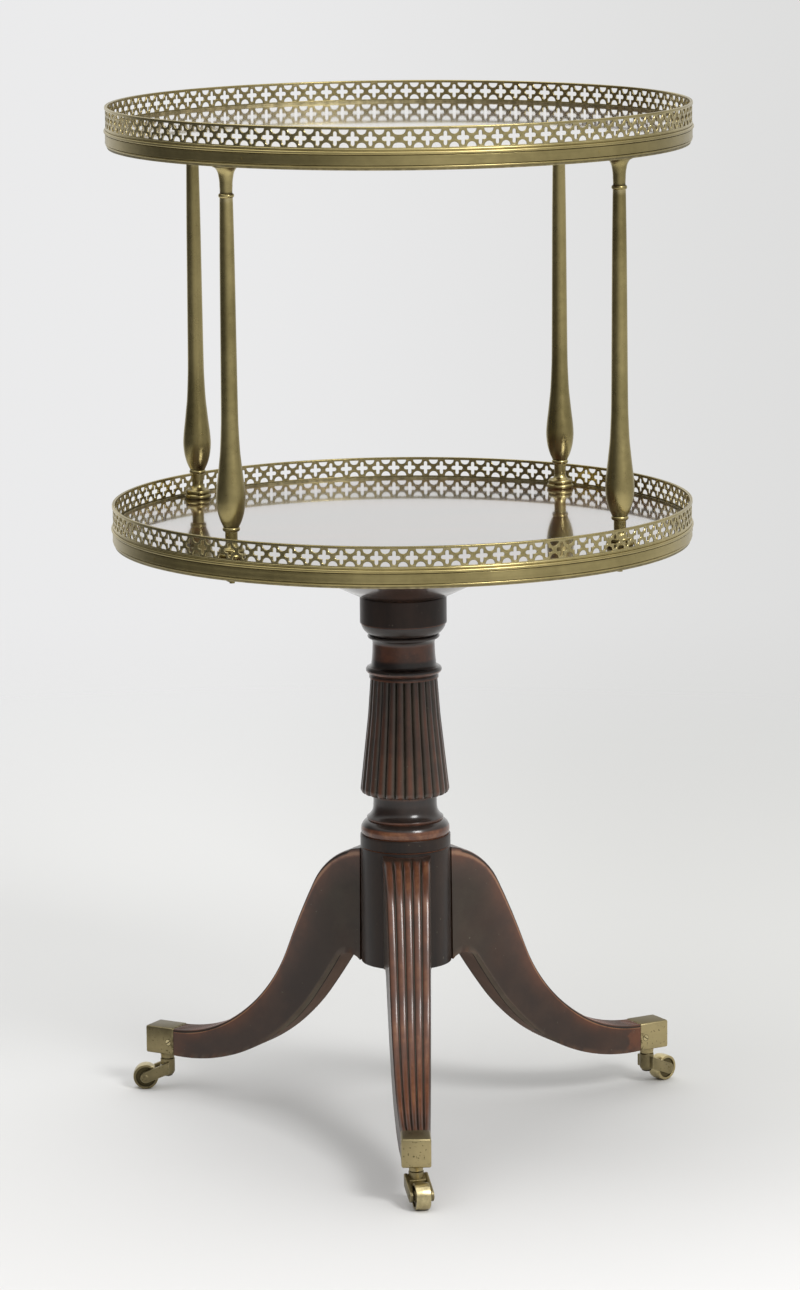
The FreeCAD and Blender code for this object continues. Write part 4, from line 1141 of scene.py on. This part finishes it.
# %% Horns
BARREL_SIDES = 40
BARREL_OUTLINE = [(0, 11.2, 0), (6.2, 15.6, 0.2), (6.2, 26.4, 0), (5.6, 27.0, 0.2), (0, 27.0, 0)]
ARM_OUTLINE = [(-1.6, 14.4, 0), (17.08, 6.91, 0), (20.92, 15.49, 0.5), (-1.6, 25.0, 0)]
ARM_NEAR, ARM_FAR = 6.5, 9.9
SHOULDER_OUTLINE = [(-1.3, 14.7, 0), (6.6, 11.5, 0), (6.6, 21.1, 0), (-1.3, 24.5, 0)]
SHOULDER_HALF = 9.5
HORN_EDGE, HORN_CORNER = 0.7, 0.9


def horn_plate(bm, corners, near, far):
    """An outline as a plate between two distances from the middle, with softened edges."""
    face = bm.faces.new([bm.verts.new((x, near, z)) for x, z in outline(corners)])
    made = bmesh.ops.extrude_face_region(bm, geom=[face])["geom"]
    tops = [item for item in made if isinstance(item, bmesh.types.BMVert)]
    bmesh.ops.translate(bm, vec=(0, far - near, 0), verts=tops)
    bm.normal_update()
    edges = {edge for vert in tops + list(face.verts) for edge in vert.link_edges}
    sharp = [edge for edge in edges if edge.calc_face_angle() > HORN_CORNER]
    bmesh.ops.bevel(bm, geom=sharp, offset=HORN_EDGE, affect="EDGES", segments=2, profile=0.5,
                    material=-1)


def caster_horn(bm):
    horn_plate(bm, ARM_OUTLINE, ARM_NEAR, ARM_FAR)
    horn_plate(bm, ARM_OUTLINE, -ARM_FAR, -ARM_NEAR)
    horn_plate(bm, SHOULDER_OUTLINE, -SHOULDER_HALF, SHOULDER_HALF)
    turn(bm, outline(BARREL_OUTLINE), BARREL_SIDES)


print("horn arms from", ARM_NEAR, "to", ARM_FAR, "mm beside the wheel's middle")

# %% [markdown]
# ## Wheels
# A wheel is turned too, lying on its side: a hub with a bore for the axle, a recess painted dark as
# shade, and a broad, slightly crowned tread that the floor keeps bright. Horn and wheel ride on bodies of
# their own, so that the horn swivels and the wheel rolls in the poses.

# %% Casters
HEADINGS = {"front": -78.0, "right": 42.0, "left": 180.0}
TRAIL, WHEEL_RADIUS, WHEEL_SIDES = 19.0, 11.2, 56
WHEEL_OUTLINE = [
    (1.66, -6.0, 0), (4.3, -6.0, 0), (4.6, -5.7, 0.2), (4.6, -4.6, 0), (8.6, -4.6, 0), (8.6, -5.8, 0),
    (8.9, -6.0, 0.2), (10.3, -6.0, 0), (10.7, -5.6, 0.2), (10.7, 5.6, 0.0417), (10.3, 6.0, 0.2),
    (8.9, 6.0, 0), (8.6, 5.8, 0.2), (8.6, 4.6, 0), (4.6, 4.6, 0), (4.6, 5.7, 0), (4.3, 6.0, 0.2),
    (1.66, 6.0, 0),
]
RECESS_HALF, HUB_RADIUS, TREAD_INNER = 4.7, 4.5, 8.7
BRIGHT_TREAD = 10.4, 10.7


def caster_wheel(bm):
    for mark in ("wear", "grime"):
        bm.verts.layers.float.new(mark)
    wear, grime = bm.verts.layers.float["wear"], bm.verts.layers.float["grime"]
    wheel = turn(bm, outline(WHEEL_OUTLINE), WHEEL_SIDES, ring=True)
    for vert in wheel:
        vert[wear] = 0.9 * eased(vert.co.xy.length, *BRIGHT_TREAD)
        # the recess is painted dark, as shade
        if abs(vert.co.z) < RECESS_HALF and HUB_RADIUS < vert.co.xy.length < TREAD_INNER:
            vert[grime] = 0.9
    bmesh.ops.transform(bm, matrix=Matrix.Rotation(math.radians(90), 4, "X"), verts=wheel)
    place(bm, wheel, 0, (TRAIL, 0, WHEEL_RADIUS))


CASTER_PIECES = [
    ("_caster_horn", caster_horn, horn_brass, "_caster", "_caster_fork"),
    ("_caster_roller", caster_wheel, caster_brass, "_wheel", "_caster_wheel"),
]
for leg, azimuth in LEGS.items():
    angle = math.radians(azimuth)
    pivot = (PIVOT_REACH * math.cos(angle), PIVOT_REACH * math.sin(angle), 0)
    for name, make, finish, body, node in CASTER_PIECES:
        bm = bmesh.new()
        make(bm)
        place(bm, bm.verts, HEADINGS[leg], pivot)
        piece(leg + name, bm, leg + body, finish, [leg + node])

# %% [markdown]
# ## Pieces kept from the packed model
# Pins, studs, nuts and screws are small and mostly hidden. Modelling them again would show nothing new,
# so their packed meshes stay and only get a finish.

# %% Finishes for the kept pieces
CASTER_PINS = [leg + "_caster_" + part for leg in LEGS for part in ("axle", "pintle")]
COLUMN_FIXINGS = ["column_nuts", "column_washers", "column_bottom_studs", "column_top_studs"]
KEPT = {
    "caster_brass": (horn_brass, CASTER_PINS),
    "gallery_brass": (rim_brass, ["lower_rim_pins", "upper_rim_pins"]),
    "column_brass": (column_brass, COLUMN_FIXINGS),
    "steel": (screw_steel, ["dome_screws", "tie_plate_screws"]),
    "iron": (plate_iron, ["leg_tie_plate"]),
}
for slot, (finish, names) in KEPT.items():
    for name in names:
        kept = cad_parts[name]
        kept.data.materials.clear()
        kept.data.materials.append(finish)
    print(slot, "on", len(names), "kept pieces")

# %% [markdown]
# ## The floor
# The etagere stands in a plain pale studio. A curved sheet of paper could be modelled, but a wide disc
# whose edge fades out is simpler: it melts into the background and only its soft shadows show. Its far
# right side is painted a little darker, as shade.

# %% Floor
FLOOR_NEAR = (0.70, 0.695, 0.69, 1)
FLOOR_FAR_LEFT, FLOOR_FAR_RIGHT_SHADED = (0.71, 0.71, 0.705, 1), (0.60, 0.60, 0.59, 1)
FLOOR_REACH, FLOOR_SIDES = 6.0, 96
FADE_START, FADE_END = 0.9, 2.6

floor_finish, floor_shader, floor_start, floor_spot = new_finish("studio_floor", Roughness=0.9,
                                                                 Specular_IOR_Level=0.1)
mottle = floor_spot.noise(3.0, 3.0) * 0.15
# the far right of the floor is painted darker, as shade
floor_far = floor_spot.axis("X").ramp(-0.35, 0.30).blend(FLOOR_FAR_LEFT, FLOOR_FAR_RIGHT_SHADED)
floor_colour = (floor_spot.axis("Y") + mottle).ramp(-0.45, 0.35).blend(FLOOR_NEAR, floor_far)
feed(floor_shader, Base_Color=floor_colour)
distance = floor_start.node("ShaderNodeVectorMath", {"operation": "LENGTH"}, {0: floor_spot}, "Value")
feed(floor_shader, Alpha=distance.ramp(FADE_END, FADE_START))
bm = bmesh.new()
bmesh.ops.create_circle(bm, cap_ends=True, radius=FLOOR_REACH, segments=FLOOR_SIDES)
floor_mesh = bpy.data.meshes.new("studio_floor")
bm.to_mesh(floor_mesh)
bm.free()
floor_mesh.materials.append(floor_finish)
floor = bpy.data.objects.new("studio_floor", floor_mesh)
bpy.context.scene.collection.objects.link(floor)
print("floor fades out", FADE_END, "m from the axis")

# %% [markdown]
# ## The room
# Polished brass shows the room more than itself, so the world is a simple room: pale paper behind, which
# the boards mirror, a bright ceiling, and a left side that is darker than the right, so that rims and
# columns turn from dark to light as they do in the photograph.

# %% World
BACK_LEFT, BACK_RIGHT = (0.83, 0.83, 0.835, 1), (0.73, 0.73, 0.725, 1)
ROOM_LEFT, ROOM_RIGHT = (0.10, 0.10, 0.105, 1), (0.53, 0.53, 0.525, 1)
CEILING, BACK_HIGH = (0.95, 0.95, 0.94, 1), (0.94, 0.94, 0.93, 1)

world = bpy.data.worlds.new("studio")
bpy.context.scene.world = world
world.use_nodes = True
sky = Mask(world.node_tree)
heading = sky.node("ShaderNodeTexCoord", None, None, "Generated")
room = heading.axis("X").ramp(-0.9, 0.2).blend(ROOM_LEFT, ROOM_RIGHT)
room = heading.axis("Z").ramp(0.35, 0.75).blend(room, CEILING)
paper = heading.axis("X").ramp(-0.05, 0.09).blend(BACK_LEFT, BACK_RIGHT)
paper = heading.axis("Z").ramp(-0.04, 0.03).blend(paper, BACK_HIGH)
behind = heading.axis("Y").ramp(0.45, 0.95)
backdrop = world.node_tree.nodes["Background"]
world.node_tree.links.new(behind.blend(room, paper).socket, backdrop.inputs["Color"])
print("paper from", BACK_LEFT[0], "on the left to", BACK_RIGHT[0], "on the right")

# %% [markdown]
# ## The lamps
# The shadows on the floor fall to the left and away from the camera, so the key lamp stands in front on
# the right. A wide lamp overhead keeps the shadows soft. More lamps would only add glints to the brass.

# %% Lamps
def soft_lamp(name, spot, aim, width, height, watts):
    lamp = bpy.data.lights.new(name, "AREA")
    lamp.shape, lamp.size, lamp.size_y, lamp.energy = "RECTANGLE", width, height, watts
    holder = bpy.data.objects.new(name, lamp)
    holder.location = spot
    holder.rotation_euler = (Vector(aim) - Vector(spot)).to_track_quat("-Z", "Y").to_euler()
    bpy.context.scene.collection.objects.link(holder)
    print(name, watts, "W")


soft_lamp("key_lamp", (1.50, -2.05, 2.20), (0, 0, 0.35), 0.9, 0.9, 51)
soft_lamp("top_lamp", (-0.3, 0.2, 3.4), (0, 0, 0.3), 3.0, 3.0, 44)

# %% [markdown]
# ## The camera
# A long lens from about four metres keeps the two trays nearly alike in size. The camera stands a third
# of a metre above the upper tray and looks down by about ten degrees. It could be placed by eye, but its
# place was fitted to the outlines of both trays and to the three feet.

# %% Camera
CAMERA_SPOT = (-0.0030, -4.2793, 1.2015)
CAMERA_TILT, CAMERA_ROLL, CAMERA_LENS = -10.464, -0.55, 145.76

camera = bpy.data.cameras.new("camera")
camera.lens, camera.sensor_width = CAMERA_LENS, 36
viewer = bpy.data.objects.new("camera", camera)
viewer.location = CAMERA_SPOT
tilt = Matrix.Rotation(math.radians(90 + CAMERA_TILT), 4, "X")
roll = Matrix.Rotation(math.radians(CAMERA_ROLL), 4, "Z")
viewer.rotation_euler = (tilt @ roll).to_euler()
bpy.context.scene.collection.objects.link(viewer)
bpy.context.scene.camera = viewer
bpy.context.scene.view_settings.view_transform = "Standard"
print("camera", round(viewer.location.length, 2), "m from the foot, lens", CAMERA_LENS, "mm")

# %% [markdown]
# ## Sizes
# The dressed etagere has to stay inside the box of the packed one, because other parts are fitted to
# that.
